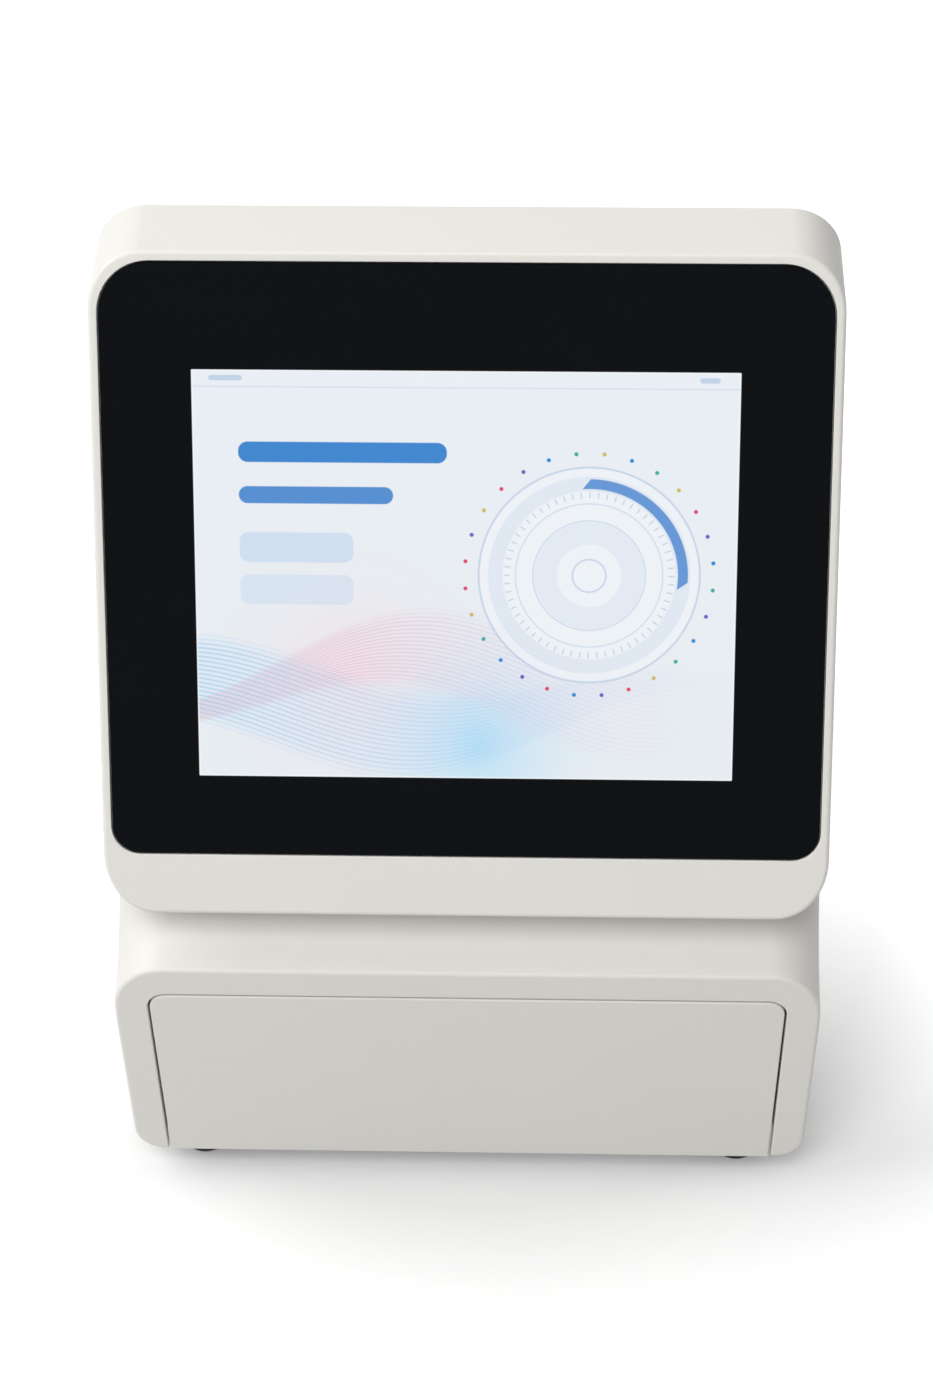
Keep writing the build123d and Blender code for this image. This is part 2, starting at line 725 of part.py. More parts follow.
def main_board():
    """Circuit board with four fixing holes."""
    back = -bracket_back() - BOARD_LIFT - BOARD_T
    board = Pos(0, 0, back) * extrude(RectangleRounded(BOARD_W, BOARD_H, BOARD_EDGE / 2), amount=BOARD_T)
    for u, w in board_places():
        board -= post(u, w, back, back + BOARD_T, SCREW_R + SCREW_FIT)
    return FACE * board


def display_standoffs():
    """Posts between the bracket and the main board."""
    top = -bracket_back()
    posts = []
    for u, w in board_places():
        solid = post(u, w, top - BOARD_LIFT, top, STANDOFF_R)
        posts.append(FACE * (solid - post(u, w, top - BOARD_LIFT, top, SCREW_R + SCREW_FIT)))
    return posts


def display_board_screws():
    """Screws of the main board."""
    back = -bracket_back() - BOARD_LIFT - BOARD_T
    screw = Rot(180, 0, 0) * pan_screw(BOARD_T + BOARD_LIFT / 2)
    return [FACE * Pos(u, w, back) * screw for u, w in board_places()]


def heat_sink(width, depth, height, fins):
    """Finned block on z = 0."""
    base = height * SINK_BASE
    sink = Pos(0, 0, base / 2) * Box(width, depth, base)
    pitch = width / fins
    fin = Box(pitch * FIN_SHARE, depth, height)
    for i in range(fins):
        sink += Pos((i + 0.5) * pitch - width / 2, 0, height / 2) * fin
    return sink


def on_board(place, size):
    """Block that stands on a board at z = 0."""
    return Pos(place[0], place[1], size[2] / 2) * Box(*size)


def main_board_parts():
    """Processor with its heat sink, memory and connectors on the rear of the main board."""
    back = -bracket_back() - BOARD_LIFT - BOARD_T
    rear = FACE * Pos(0, 0, back) * Rot(180, 0, 0)
    parts = [rear * Pos(*HEAT_SINK_AT, 0) * heat_sink(*HEAT_SINK, SINK_FINS)]
    parts += [rear * on_board(place, MEMORY) for place in MEMORY_AT]
    parts += [rear * on_board(place, SIDE_PLUG) for place in SIDE_PLUG_AT]
    parts.append(rear * on_board(CABLE_PLUG_AT, CABLE_PLUG))
    return group(parts)


def speaker():
    """Small speaker on the rear of the bracket."""
    u, w = SPEAKER_AT
    top = -bracket_back()
    cone = post(u, w, top - SPEAKER_T, top, SPEAKER_BACK_R, SPEAKER_R)
    return FACE * (cone + post(u, w, top - SPEAKER_RIM, top, SPEAKER_R + SPEAKER_RIM))


# Chassis and feet

def foot_places():
    """x and y of the four feet."""
    return [(side * FOOT_X, y) for side in (-1, 1) for y in (FOOT_Y, REAR_FOOT_Y)]


def base_chassis():
    """Sheet steel floor with two upright tabs for the rear cover."""
    half = FOOT_WIDTH / 2 - BASE_CORNER_R - CHASSIS_GAP
    back = rear_flange_y()
    front = PANEL_RETURN + SHEET
    plate = block(-half, half, front, back, FLOOR_Z, CHASSIS_TOP)
    plate += block(-CHASSIS_TAB_HALF, CHASSIS_TAB_HALF, CHASSIS_TAB_Y, front + SHEET, FLOOR_Z, CHASSIS_TOP)
    for side in (-1, 1):
        inner, outer = sorted((side * (COVER_SCREW_X - COVER_BOSS_R - SHEET), side * FLANGE_OUT))
        plate += block(inner, outer, back - SHEET, back, FLOOR_Z, FLANGE_TOP)
        x = side * COVER_SCREW_X
        plate -= rod_y(x, COVER_SCREW_Z, back - 2 * SHEET, back + SHEET, SCREW_R + SCREW_FIT)
        for y in BOSS_ROWS:
            plate -= post(side * BOSS_X, y, 0, 2 * FLOOR_Z, SCREW_R + SCREW_FIT)
    for x, y in foot_places():
        plate -= post(x, y, 0, 2 * FLOOR_Z, SCREW_R + SCREW_FIT)
    slot = extrude(Rot(0, 0, 90) * SlotOverall(VENT_LENGTH, VENT_WIDTH), amount=2 * FLOOR_Z)
    middle_x = sum(POWER_BOARD_X) / 2
    first = middle_x - (CHASSIS_SLOTS - 1) / 2 * CHASSIS_SLOT_PITCH
    for i in range(CHASSIS_SLOTS):
        plate -= Pos(first + i * CHASSIS_SLOT_PITCH, sum(POWER_BOARD_Y) / 2, 0) * slot
    return plate


def feet():
    """Rubber feet with a deep seat for their screw."""
    solids = []
    for x, y in foot_places():
        foot = post(x, y, 0, FLOOR_Z, FOOT_R, FOOT_TOP_R)
        foot = chamfer(foot.edges().group_by(Axis.Z)[0], POCKET_EDGE)
        foot -= post(x, y, 0, FLOOR_Z - FOOT_SEAT, FOOT_BORE_R)
        solids.append(foot - post(x, y, 0, FLOOR_Z, SCREW_R + SCREW_FIT))
    return group(solids)


def housing_screws():
    """Screws from below: through the feet into the chassis, and into the bosses of the housing."""
    foot_screw = Rot(180, 0, 0) * pan_screw(FOOT_SEAT + SHEET + SCREW_END)
    boss_screw = Rot(180, 0, 0) * pan_screw(SCREW_LENGTH)
    screws = [Pos(x, y, FLOOR_Z - FOOT_SEAT) * foot_screw for x, y in foot_places()]
    screws += [Pos(side * BOSS_X, y, FLOOR_Z) * boss_screw for side in (-1, 1) for y in BOSS_ROWS]
    return group(screws)


def rear_screws():
    """Screws through the rear wall into the chassis, and through the fan into the rear wall."""
    length = DEPTH - WALL - rear_flange_y() + SHEET + SCREW_END
    cover_screw = Rot(-90, 0, 0) * pan_screw(length)
    fan_screw = Rot(90, 0, 0) * pan_screw(FAN_T + WALL / 2)
    screws = [Pos(side * COVER_SCREW_X, DEPTH - WALL, COVER_SCREW_Z) * cover_screw for side in (-1, 1)]
    screws += [Pos(x, fan_front(), FAN_Z + z) * fan_screw for x, z in corners(FAN_HOLES, FAN_HOLES)]
    return group(screws)


# Drawer

def panel_outline(grow):
    """Front view of the drawer panel, made larger all round for its opening."""
    foot = PANEL_HALF_FOOT + grow
    head = PANEL_HALF_TOP + grow
    top = PANEL_TOP + grow
    bottom = FLOOR_Z - 4 * grow
    outline = make_face(Polyline((-foot, bottom), (foot, bottom), (head, top), (-head, top), close=True))
    for side in (-1, 1):
        outline = round_corner(outline, (side * head, top), PANEL_CORNER_R + grow)
    return outline


def drawer_front():
    """Moulded panel with return flanges at its top and sides and ribs behind it."""
    panel = extrude(Plane.XZ * panel_outline(0), amount=-PANEL_RETURN)
    front = panel.faces().sort_by(Axis.Y)[0]
    panel = fillet(front.edges(), PANEL_EDGE_R)
    shell = PANEL_FLANGE
    inside = extrude(Plane.XZ * panel_outline(-shell), amount=-PANEL_RETURN)
    inside &= block(-WIDTH, WIDTH, PANEL_T, DEPTH, 0, DEPTH)
    low = block(-PANEL_HALF_FOOT + shell, PANEL_HALF_FOOT - shell, PANEL_T, DEPTH, 0, FLOOR_Z + 5 * shell)
    panel -= inside
    panel -= low
    half = PANEL_HALF_FOOT - shell
    panel += block(-half, half, PANEL_T, PANEL_RETURN - PANEL_T, PANEL_RIB_Z, PANEL_RIB_Z + shell)
    for side in (-1, 1):
        x = side * PANEL_RIB_X
        panel += block(x - shell / 2, x + shell / 2, PANEL_T, CHASSIS_TAB_Y, FLOOR_Z + shell, PANEL_RIB_Z)
    for x, z in panel_screw_places():
        panel -= rod_y(x, z, PANEL_T / 2, PANEL_T, SCREW_R + SCREW_FIT)
    return panel


def panel_screw_places():
    """x and z of the screws between the tray and the front panel."""
    return [(side * PANEL_SCREW_X, z) for side in (-1, 1) for z in PANEL_SCREW_Z]


def drawer_tray():
    """Moulded tray with the disc pocket, finger scoops, a rack rib and the sensor flag."""
    tray_front = PANEL_T + TRAY_T
    deck_low = TRAY_TOP - TRAY_T
    tray = block(-TRAY_HALF, TRAY_HALF, PANEL_T, TRAY_END, deck_low, TRAY_TOP)
    tray += block(-TRAY_HALF, TRAY_HALF, PANEL_T, tray_front, TRAY_FRONT_LOW, deck_low)
    tray += block(-TRAY_HALF, TRAY_HALF, TRAY_END - TRAY_SKIRT, TRAY_END, TRAY_LOW, deck_low)
    for side in (-1, 1):
        inner, outer = sorted((side * (TRAY_HALF - TRAY_SKIRT), side * TRAY_HALF))
        tray += block(inner, outer, PANEL_T, TRAY_END, TRAY_LOW, deck_low)
    under = POCKET_FLOOR - TRAY_T
    tray += post(0, POCKET_Y, under, TRAY_TOP, POCKET_R + POCKET_WALL)
    half_rib = RACK_W / 2 + SCREW_FIT
    tray += block(RACK_X - half_rib, RACK_X + half_rib, PANEL_T, TRAY_END, under, deck_low)
    tray += block(-TRAY_HALF, TRAY_HALF, TRAY_RIB_Y, TRAY_RIB_Y + TRAY_SKIRT, under, deck_low)
    scoop_floor = TRAY_TOP - SCOOP_DEPTH
    for side in (-1, 1):
        tray += post(side * POCKET_R, POCKET_Y, scoop_floor - TRAY_SKIRT, TRAY_TOP, SCOOP_R + TRAY_SKIRT)
    tray -= post(0, POCKET_Y, POCKET_FLOOR, TRAY_TOP + 1, POCKET_R)
    for side in (-1, 1):
        tray -= post(side * POCKET_R, POCKET_Y, scoop_floor, TRAY_TOP + 1, SCOOP_R)
    deck = tray.faces().sort_by(Axis.Z)[-1]
    tray = chamfer(deck.inner_wires()[0].edges(), POCKET_EDGE)
    tray -= post(0, POCKET_Y, 0, TRAY_TOP, SHAFT_HOLE_R)
    tray -= post(0, READ_Y, 0, TRAY_TOP, BEAM_R)
    for x, y in spindle_screw_places():
        tray -= post(x, y, 0, TRAY_TOP, SCREW_R + SCREW_FIT)
    for x, z in panel_screw_places():
        tray -= rod_y(x, z, 0, tray_front, SCREW_R + SCREW_FIT)
    back = TRAY_END - TRAY_SKIRT
    half_flag = FLAG_T / 2
    return tray + block(FLAG_X - half_flag, FLAG_X + half_flag, back - FLAG_L, back, FLAG_LOW, deck_low)


def drawer_screws():
    """Screws through the tray's front wall, and through the pocket floor into the spindle motor."""
    panel_screw = Rot(-90, 0, 0) * pan_screw(TRAY_T + PANEL_T / 2 - SCREW_FIT)
    motor_screw = pan_screw(TRAY_T + SCREW_LENGTH / 2 - SCREW_FIT)
    screws = [Pos(x, PANEL_T + TRAY_T, z) * panel_screw for x, z in panel_screw_places()]
    screws += [Pos(x, y, POCKET_FLOOR) * motor_screw for x, y in spindle_screw_places()]
    return group(screws)


def heater_ring():
    """Flat heater ring on the floor of the disc pocket."""
    ring = post(0, POCKET_Y, POCKET_FLOOR, POCKET_FLOOR + RING_T, POCKET_R - RING_GAP)
    ring -= post(0, POCKET_Y, POCKET_FLOOR, POCKET_FLOOR + RING_T, RING_INNER_R)
    return ring - post(0, READ_Y, 0, TRAY_TOP, BEAM_R)


def spindle_screw_places():
    """x and y of the screws between the pocket floor and the spindle motor."""
    turns = [pi / 2 + i * 2 * pi / MOTOR_SCREWS for i in range(MOTOR_SCREWS)]
    return [(MOTOR_SCREW_R * cos(t), POCKET_Y + MOTOR_SCREW_R * sin(t)) for t in turns]


def spindle_motor():
    """Flat motor that hangs under the pocket floor."""
    top = POCKET_FLOOR - TRAY_T
    motor = post(0, POCKET_Y, top - MOTOR_H, top, MOTOR_R)
    motor = chamfer(motor.edges().group_by(Axis.Z)[0], MOTOR_EDGE)
    motor -= post(0, POCKET_Y, top - MOTOR_H, top, SHAFT_R + SHAFT_FIT)
    for x, y in spindle_screw_places():
        motor -= post(x, y, top - SCREW_LENGTH / 2, top, SCREW_R + SCREW_FIT)
    return motor


def spindle_shaft():
    """Shaft of the spindle motor."""
    low = POCKET_FLOOR - TRAY_T - MOTOR_H
    return post(0, POCKET_Y, low + SHAFT_R, HUB_TOP - HUB_PLATE, SHAFT_R)


def turntable_hub():
    """Hub that centres the disc and turns it with three lugs."""
    hub = post(0, POCKET_Y, HUB_BASE, HUB_BASE + HUB_PLATE, HUB_R)
    hub += post(0, POCKET_Y, HUB_BASE, HUB_TOP, HUB_NECK_R)
    hub = chamfer(hub.edges().group_by(Axis.Z)[-1], POCKET_EDGE)
    lug = post(LUG_PLACE_R, 0, HUB_BASE + HUB_PLATE, HUB_TOP - HUB_PLATE, LUG_R)
    for i in range(HUB_LUGS):
        hub += Pos(0, POCKET_Y, 0) * Rot(0, 0, i * 360 / HUB_LUGS) * lug
    return hub - post(0, POCKET_Y, 0, HUB_TOP - HUB_PLATE, SHAFT_R)


# Ball slides, modelled on the right and mirrored

def channel(web, tip, half_height):
    """C section between a web and the tips of its flanges, along the whole slide."""
    inner, outer = sorted((web, tip))
    rail_end = RAIL_START + RAIL_LENGTH
    hollow = RAIL_T if web < tip else -RAIL_T
    section = block(inner, outer, RAIL_START, rail_end, RAIL_Z - half_height, RAIL_Z + half_height)
    clear = half_height - RAIL_T
    low, high = sorted((web + hollow, tip + 2 * hollow))
    return section - block(low, high, RAIL_START, rail_end, RAIL_Z - clear, RAIL_Z + clear)


def ball_line():
    """x of the balls, and their height above and below the middle of the slide."""
    x = TRAY_HALF + RAIL_WIDTH / 2
    return x, (INNER_HALF_H + OUTER_HALF_H - RAIL_T) / 2


def ball_grooves():
    """The two long grooves that the balls run in."""
    x, rise = ball_line()
    rail_end = RAIL_START + RAIL_LENGTH
    return [rod_y(x, RAIL_Z + s * rise, RAIL_START, rail_end, BALL_R + BALL_FIT) for s in (-1, 1)]


def outer_rail():
    """Fixed channel on the rail bracket."""
    web = TRAY_HALF + RAIL_WIDTH
    rail = channel(web, web - RAIL_FLANGE, OUTER_HALF_H) - ball_grooves()
    for y in rail_screw_places():
        rail -= rod_x(y, RAIL_Z, web - RAIL_T, web, SCREW_R + SCREW_FIT)
    return rail


def inner_rail():
    """Sliding channel on the tray."""
    return channel(TRAY_HALF, TRAY_HALF + RAIL_FLANGE, INNER_HALF_H) - ball_grooves()


def ball_places():
    """y of the balls and the side of the slide that they run on."""
    pitch = CAGE_LENGTH / BALLS_PER_ROW
    rows = [CAGE_START + (i + 0.5) * pitch for i in range(BALLS_PER_ROW)]
    return [(y, side) for y in rows for side in (-1, 1)]


def ball_cage():
    """Thin bent strip whose holes keep the balls apart."""
    x, rise = ball_line()
    inner = TRAY_HALF + RAIL_WIDTH - RAIL_FLANGE + CAGE_T / 2
    outer = TRAY_HALF + RAIL_FLANGE + CAGE_GAP + CAGE_T
    cage_end = CAGE_START + CAGE_LENGTH
    half = rise + CAGE_T / 2
    cage = block(inner, outer, CAGE_START, cage_end, RAIL_Z - half, RAIL_Z + half)
    clear = rise - CAGE_T / 2
    cage -= block(inner, outer - CAGE_T, CAGE_START, cage_end, RAIL_Z - clear, RAIL_Z + clear)
    for y, side in ball_places():
        z = RAIL_Z + side * rise
        cage -= post(x, y, z - CAGE_T, z + CAGE_T, BALL_R + SHAFT_FIT)
    return cage


def balls():
    """Steel balls of one slide."""
    x, rise = ball_line()
    return group(Pos(x, y, RAIL_Z + side * rise) * Sphere(BALL_R) for y, side in ball_places())


def rail_screw_places():
    """y of the screws through the rail bracket."""
    return (RAIL_START + RAIL_LENGTH / 8, RAIL_START + RAIL_LENGTH * 7 / 8)


def frame_screws():
    """Screws of the outer rails and of the bridge."""
    rail_screw = Rot(0, 90, 0) * pan_screw(SHEET + RAIL_T)
    bridge_screw = pan_screw(2 * SHEET + SCREW_END)
    screws = [Pos(TRAY_HALF + RAIL_WIDTH + SHEET, y, RAIL_Z) * rail_screw for y in rail_screw_places()]
    screws += [Pos(bridge_screw_x(), y, BRIDGE_Z + SHEET) * bridge_screw for y in bridge_screw_rows()]
    return group(screws + [left_of(screw) for screw in screws])


def rail_bracket():
    """Sheet wall with a foot on the chassis and a flange under the bridge."""
    inner = TRAY_HALF + RAIL_WIDTH
    rail_end = RAIL_START + RAIL_LENGTH
    bracket = block(inner, inner + SHEET, RAIL_START, rail_end, CHASSIS_TOP, BRIDGE_Z)
    foot_start = FOOT_Y + FOOT_TOP_R
    foot_out = BOSS_X - BOSS_R - CHASSIS_GAP
    bracket += block(inner, foot_out, foot_start, rail_end, CHASSIS_TOP, CHASSIS_TOP + SHEET)
    bracket += block(inner, BRIDGE_HALF, BRIDGE_START, rail_end, BRIDGE_Z - SHEET, BRIDGE_Z)
    span = RAIL_LENGTH / BRACKET_OPENINGS
    low = (CHASSIS_TOP + RAIL_Z - OUTER_HALF_H) / 2
    opening = extrude(RectangleRounded(span / 2, BRACKET_OPENING_H, 2 * SHEET), amount=2 * SHEET)
    for i in range(BRACKET_OPENINGS):
        y = RAIL_START + (i + 0.5) * span
        bracket -= Pos(inner - SHEET / 2, y, low) * Rot(0, 90, 0) * Rot(0, 0, 90) * opening
    for y in rail_screw_places():
        bracket -= rod_x(y, RAIL_Z, inner, inner + SHEET, SCREW_R + SCREW_FIT)
    for y in bridge_screw_rows():
        bracket -= post(bridge_screw_x(), y, BRIDGE_Z - SHEET, BRIDGE_Z, SCREW_R + SCREW_FIT)
    return bracket


# Rack drive

def tooth_half(thinner):
    """Half the thickness of a tooth at the pitch line."""
    return TOOTH_PITCH / 4 - thinner


def drawer_rack():
    """Straight rack under the tray, with its teeth pointing down."""
    slope = tan(radians(PRESSURE_ANGLE))
    pitch_z = PINION_Z + PITCH_R
    tip_z = pitch_z - GEAR_MODULE
    root_z = pitch_z + DEDENDUM * GEAR_MODULE
    half = tooth_half(BACKLASH / 4)
    top_z = POCKET_FLOOR - TRAY_T
    start = PINION_Y - RACK_TEETH_AHEAD * TOOTH_PITCH
    end = start + RACK_TEETH * TOOTH_PITCH
    points = [(start, top_z), (start, root_z)]
    root_half = half + slope * (root_z - pitch_z)
    tip_half = half - slope * (pitch_z - tip_z)
    tooth = [(-root_half, root_z), (-tip_half, tip_z), (tip_half, tip_z), (root_half, root_z)]
    for i in range(RACK_TEETH):
        y = start + (i + 0.5) * TOOTH_PITCH
        points += [(y + dy, z) for dy, z in tooth]
    points += [(end, root_z), (end, top_z)]
    profile = make_face(Polyline(*points, close=True))
    return Pos(RACK_X, 0, 0) * extrude(Plane.YZ * profile, amount=RACK_W / 2, both=True)


def pinion_tooth():
    """One tooth with involute flanks, pointing up from the middle of the gear."""
    base_r = PITCH_R * cos(radians(PRESSURE_ANGLE))
    root_r = PITCH_R - DEDENDUM * GEAR_MODULE
    tip_r = PITCH_R + GEAR_MODULE
    pitch_angle = tooth_half(BACKLASH / 4) / PITCH_R
    start = radians(PRESSURE_ANGLE)

    def flank(radius, side):
        turn = acos(base_r / radius)
        half = pitch_angle + (tan(start) - start) - (tan(turn) - turn)
        return (side * radius * sin(half), radius * cos(half))

    foot_angle = pitch_angle + tan(start) - start
    left, right = [
        [(side * (root_r - 1) * sin(foot_angle), (root_r - 1) * cos(foot_angle)), flank(base_r, side),
         flank((base_r + tip_r) / 2, side), flank(tip_r, side)]
        for side in (-1, 1)
    ]
    outline = Line(left[0], left[1]) + ThreePointArc(*left[1:]) + Line(left[3], right[3])
    outline += ThreePointArc(right[3], right[2], right[1]) + Line(right[1], right[0]) + Line(right[0], left[0])
    return make_face(outline)


def drive_pinion():
    """Pinion with sixteen teeth and a bore for the drive shaft."""
    gear = Circle(PITCH_R - DEDENDUM * GEAR_MODULE)
    tooth = pinion_tooth()
    for i in range(PINION_TEETH):
        gear += Rot(0, 0, i * 360 / PINION_TEETH) * tooth
    gear -= Circle(SHAFT_R)
    solid = extrude(Plane.YZ * gear, amount=PINION_W / 2, both=True)
    return Pos(RACK_X, PINION_Y, PINION_Z) * solid


def drive_plate_x():
    """Left face of the upright plate that carries the drive motor."""
    return RACK_X + PINION_W / 2 + DRIVE_PLATE_GAP


def drive_shaft():
    """Output shaft of the gearbox."""
    end = drive_plate_x() + SHEET + GEARBOX_L - SHAFT_R
    return rod_x(PINION_Y, PINION_Z, RACK_X - PINION_W / 2, end, SHAFT_R)


def drive_bracket():
    """Bent plate between the chassis and the gearbox."""
    x = drive_plate_x()
    front = PINION_Y - DRIVE_PLATE_HALF
    back = PINION_Y + DRIVE_PLATE_HALF
    bracket = block(x, x + SHEET, front, back, CHASSIS_TOP, DRIVE_PLATE_TOP)
    bracket += block(x, x + GEARBOX_L, front, back, CHASSIS_TOP, CHASSIS_TOP + SHEET)
    return bracket - rod_x(PINION_Y, PINION_Z, x, x + SHEET, 2 * SHAFT_R)


def drive_motor():
    """Gearbox and motor in one, lying across the base."""
    x = drive_plate_x() + SHEET
    motor = rod_x(PINION_Y, PINION_Z, x, x + GEARBOX_L, GEARBOX_R)
    motor += rod_x(PINION_Y, PINION_Z, x + GEARBOX_L, x + GEARBOX_L + DRIVE_MOTOR_L, DRIVE_MOTOR_R)
    return motor - rod_x(PINION_Y, PINION_Z, x, x + GEARBOX_L, SHAFT_R + SHAFT_FIT)


def home_sensor():
    """Fork sensor that sees the tray's flag when the drawer is shut."""
    back = TRAY_END - TRAY_SKIRT - SENSOR_GAP
    front = back - SENSOR_DEPTH
    sensor = block(FLAG_X - SENSOR_HALF, FLAG_X + SENSOR_HALF, front, back, CHASSIS_TOP, SENSOR_TOP)
    gap = FLAG_T / 2 + SENSOR_GAP
    return sensor - block(FLAG_X - gap, FLAG_X + gap, front, back, FLAG_LOW - SENSOR_GAP, SENSOR_TOP)


# Bridge with the optics

def bridge_screw_x():
    """x of the screws at the ends of the bridge."""
    return TRAY_HALF + RAIL_WIDTH + SHEET + SCREW_HEAD_R


def bridge_screw_rows():
    """y of the screws at the ends of the bridge."""
    return (BRIDGE_START + SCREW_LENGTH, RAIL_START + RAIL_LENGTH - SCREW_LENGTH)


def bridge_plate():
    """Plate across the rail brackets that carries the optics."""
    plate = block(-BRIDGE_HALF, BRIDGE_HALF, BRIDGE_START, BRIDGE_END, BRIDGE_Z, BRIDGE_Z + SHEET)
    plate -= post(0, READ_Y, BRIDGE_Z, BRIDGE_Z + SHEET, BEAM_R)
    plate -= post(*READER_AT, BRIDGE_Z, BRIDGE_Z + SHEET, READER_R)
    for side in (-1, 1):
        x = side * (BLOCK_HALF + TRAY_HALF) / 2
        plate -= post(x, READ_Y + BLOCK_BACK, BRIDGE_Z, BRIDGE_Z + SHEET, SCOOP_R)
        for y in bridge_screw_rows():
            plate -= post(side * bridge_screw_x(), y, BRIDGE_Z, BRIDGE_Z + SHEET, SCREW_R + SCREW_FIT)
    return plate


def upper_heater():
    """Heated plate over the disc, under the bridge."""
    plate = post(0, POCKET_Y, BRIDGE_Z - HEATER_T, BRIDGE_Z, HEATER_R)
    plate -= post(0, READ_Y, 0, BRIDGE_Z, BEAM_R)
    return plate - post(*READER_AT, 0, BRIDGE_Z, READER_R)


def optical_block():
    """Machined block that turns the lamp's beam down through the rim of the disc."""
    low = BRIDGE_Z + SHEET
    body = block(-BLOCK_HALF, BLOCK_HALF, READ_Y - BLOCK_FRONT, READ_Y + BLOCK_BACK, low, low + BLOCK_H)
    body = chamfer(body.edges().filter_by(Axis.Z), LENS_R / 2)
    beam_z = low + LAMP_LIFT
    body -= post(0, READ_Y, low, beam_z, BEAM_R)
    body -= post(0, READ_Y, low + LENS_SEAT, beam_z, LENS_R)
    return body - rod_y(0, beam_z, READ_Y - LAMP_BORE_R, READ_Y + BLOCK_BACK, LAMP_BORE_R)


def condenser_lens():
    """Lens on the seat over the beam hole."""
    low = BRIDGE_Z + SHEET + LENS_SEAT
    lens = post(0, READ_Y, low, low + LENS_T, LENS_R - SCREW_FIT)
    return chamfer(lens.edges().group_by(Axis.Z)[-1], LENS_T / 2)


def flash_lamp():
    """Lamp module behind the optical block."""
    beam_z = BRIDGE_Z + SHEET + LAMP_LIFT
    front = READ_Y + BLOCK_BACK
    lamp = rod_y(0, beam_z, front, front + LAMP_L, LAMP_R)
    foot = block(-LAMP_R, LAMP_R, front, front + LAMP_L, BRIDGE_Z + SHEET, beam_z)
    return lamp + foot


def detector_holder():
    """Block under the disc that holds the light detector."""
    front = READ_Y - DETECTOR_HALF
    body = block(-DETECTOR_HALF, DETECTOR_HALF, front, READ_Y + DETECTOR_HALF, CHASSIS_TOP, DETECTOR_TOP)
    return body - post(0, READ_Y, DETECTOR_FLOOR, DETECTOR_TOP, BEAM_R)


def detector_board():
    """Circuit board behind the detector holder."""
    y = READ_Y + DETECTOR_HALF
    return block(-DETECTOR_BOARD_HALF, DETECTOR_BOARD_HALF, y, y + BOARD_T, CHASSIS_TOP, DETECTOR_TOP)


def code_reader():
    """Camera module that reads the code on the disc through the bridge."""
    x, y = READER_AT
    low = BRIDGE_Z + SHEET
    body = Pos(x, y, low + READER_H / 2) * Box(READER_W, READER_D, READER_H)
    return body - post(x, y, low, low + READER_H / 2, READER_R)


# Electrical parts at the rear

def board_corners(span_x, span_y):
    """Fixing points near the corners of a level board."""
    return [(x, y) for x in (span_x[0] + BOARD_EDGE, span_x[1] - BOARD_EDGE)
            for y in (span_y[0] + BOARD_EDGE, span_y[1] - BOARD_EDGE)]


def level_board(span_x, span_y, z):
    """Level circuit board with four fixing holes."""
    board = block(*span_x, *span_y, z, z + BOARD_T)
    for x, y in board_corners(span_x, span_y):
        board -= post(x, y, z, z + BOARD_T, SCREW_R + SCREW_FIT)
    return board


def power_board():
    """Board of the power supply."""
    return level_board(POWER_BOARD_X, POWER_BOARD_Y, POWER_BOARD_Z)


def port_board():
    """Board that carries the sockets at the rear."""
    return level_board(PORT_BOARD_X, PORT_BOARD_Y, PORT_BOARD_Z)


def level_board_places():
    """x, y and underside of the power board's and the port board's fixing points."""
    power = [(x, y, POWER_BOARD_Z) for x, y in board_corners(POWER_BOARD_X, POWER_BOARD_Y)]
    return power + [(x, y, PORT_BOARD_Z) for x, y in board_corners(PORT_BOARD_X, PORT_BOARD_Y)]


def board_standoffs():
    """Posts under all three circuit boards."""
    posts = display_standoffs()
    for x, y, z in level_board_places():
        solid = post(x, y, CHASSIS_TOP, z, STANDOFF_R)
        posts.append(solid - post(x, y, CHASSIS_TOP + SHEET, z, SCREW_R + SCREW_FIT))
    return group(posts)


def board_screws():
    """Screws of all three circuit boards."""
    screw = pan_screw(BOARD_T + 2 * SHEET)
    screws = [Pos(x, y, z + BOARD_T) * screw for x, y, z in level_board_places()]
    return group(display_board_screws() + screws)


def power_parts():
    """Transformer, capacitor, heat sink and terminal block of the power supply."""
    low = POWER_BOARD_Z + BOARD_T
    rise = (TRANSFORMER[2] - WINDING[2]) / 2
    core = on_board(TRANSFORMER_AT, TRANSFORMER)
    transformer = core + Pos(0, 0, rise) * on_board(TRANSFORMER_AT, WINDING)
    x, y = CAPACITOR_AT
    capacitor = rod_x(y, CAPACITOR_R, x, x + CAPACITOR_L, CAPACITOR_R)
    sink = Pos(*POWER_SINK_AT, 0) * heat_sink(*POWER_SINK, POWER_SINK_FINS)
    terminal = on_board(TERMINAL_AT, TERMINAL)
    return group(Pos(0, 0, low) * part for part in (transformer, capacitor, sink, terminal))


def usb_middle(x):
    """x and z of a socket that stands on the port board."""
    return x, PORT_BOARD_Z + BOARD_T + USB_H / 2


def usb_socket(x):
    """Socket with a flat tongue in its mouth."""
    front = PORT_FACE - USB_L
    middle = usb_middle(x)
    body = centred_block(middle, USB_W, USB_H, front, PORT_FACE)
    body -= centred_block(middle, USB_W - 2 * USB_WALL, USB_H - 2 * USB_WALL, front + USB_FLOOR, PORT_FACE)
    tongue = centred_block(middle, TONGUE_W, TONGUE_T, front + USB_WALL, PORT_FACE - TONGUE_RISE)
    return body + Pos(0, 0, TONGUE_RISE) * tongue


def usb_sockets():
    """Two sockets side by side."""
    return group(usb_socket(x) for x in USB_X)


def network_middle():
    """x and z of the network socket."""
    return NETWORK_X, PORT_BOARD_Z + BOARD_T + NETWORK_H / 2


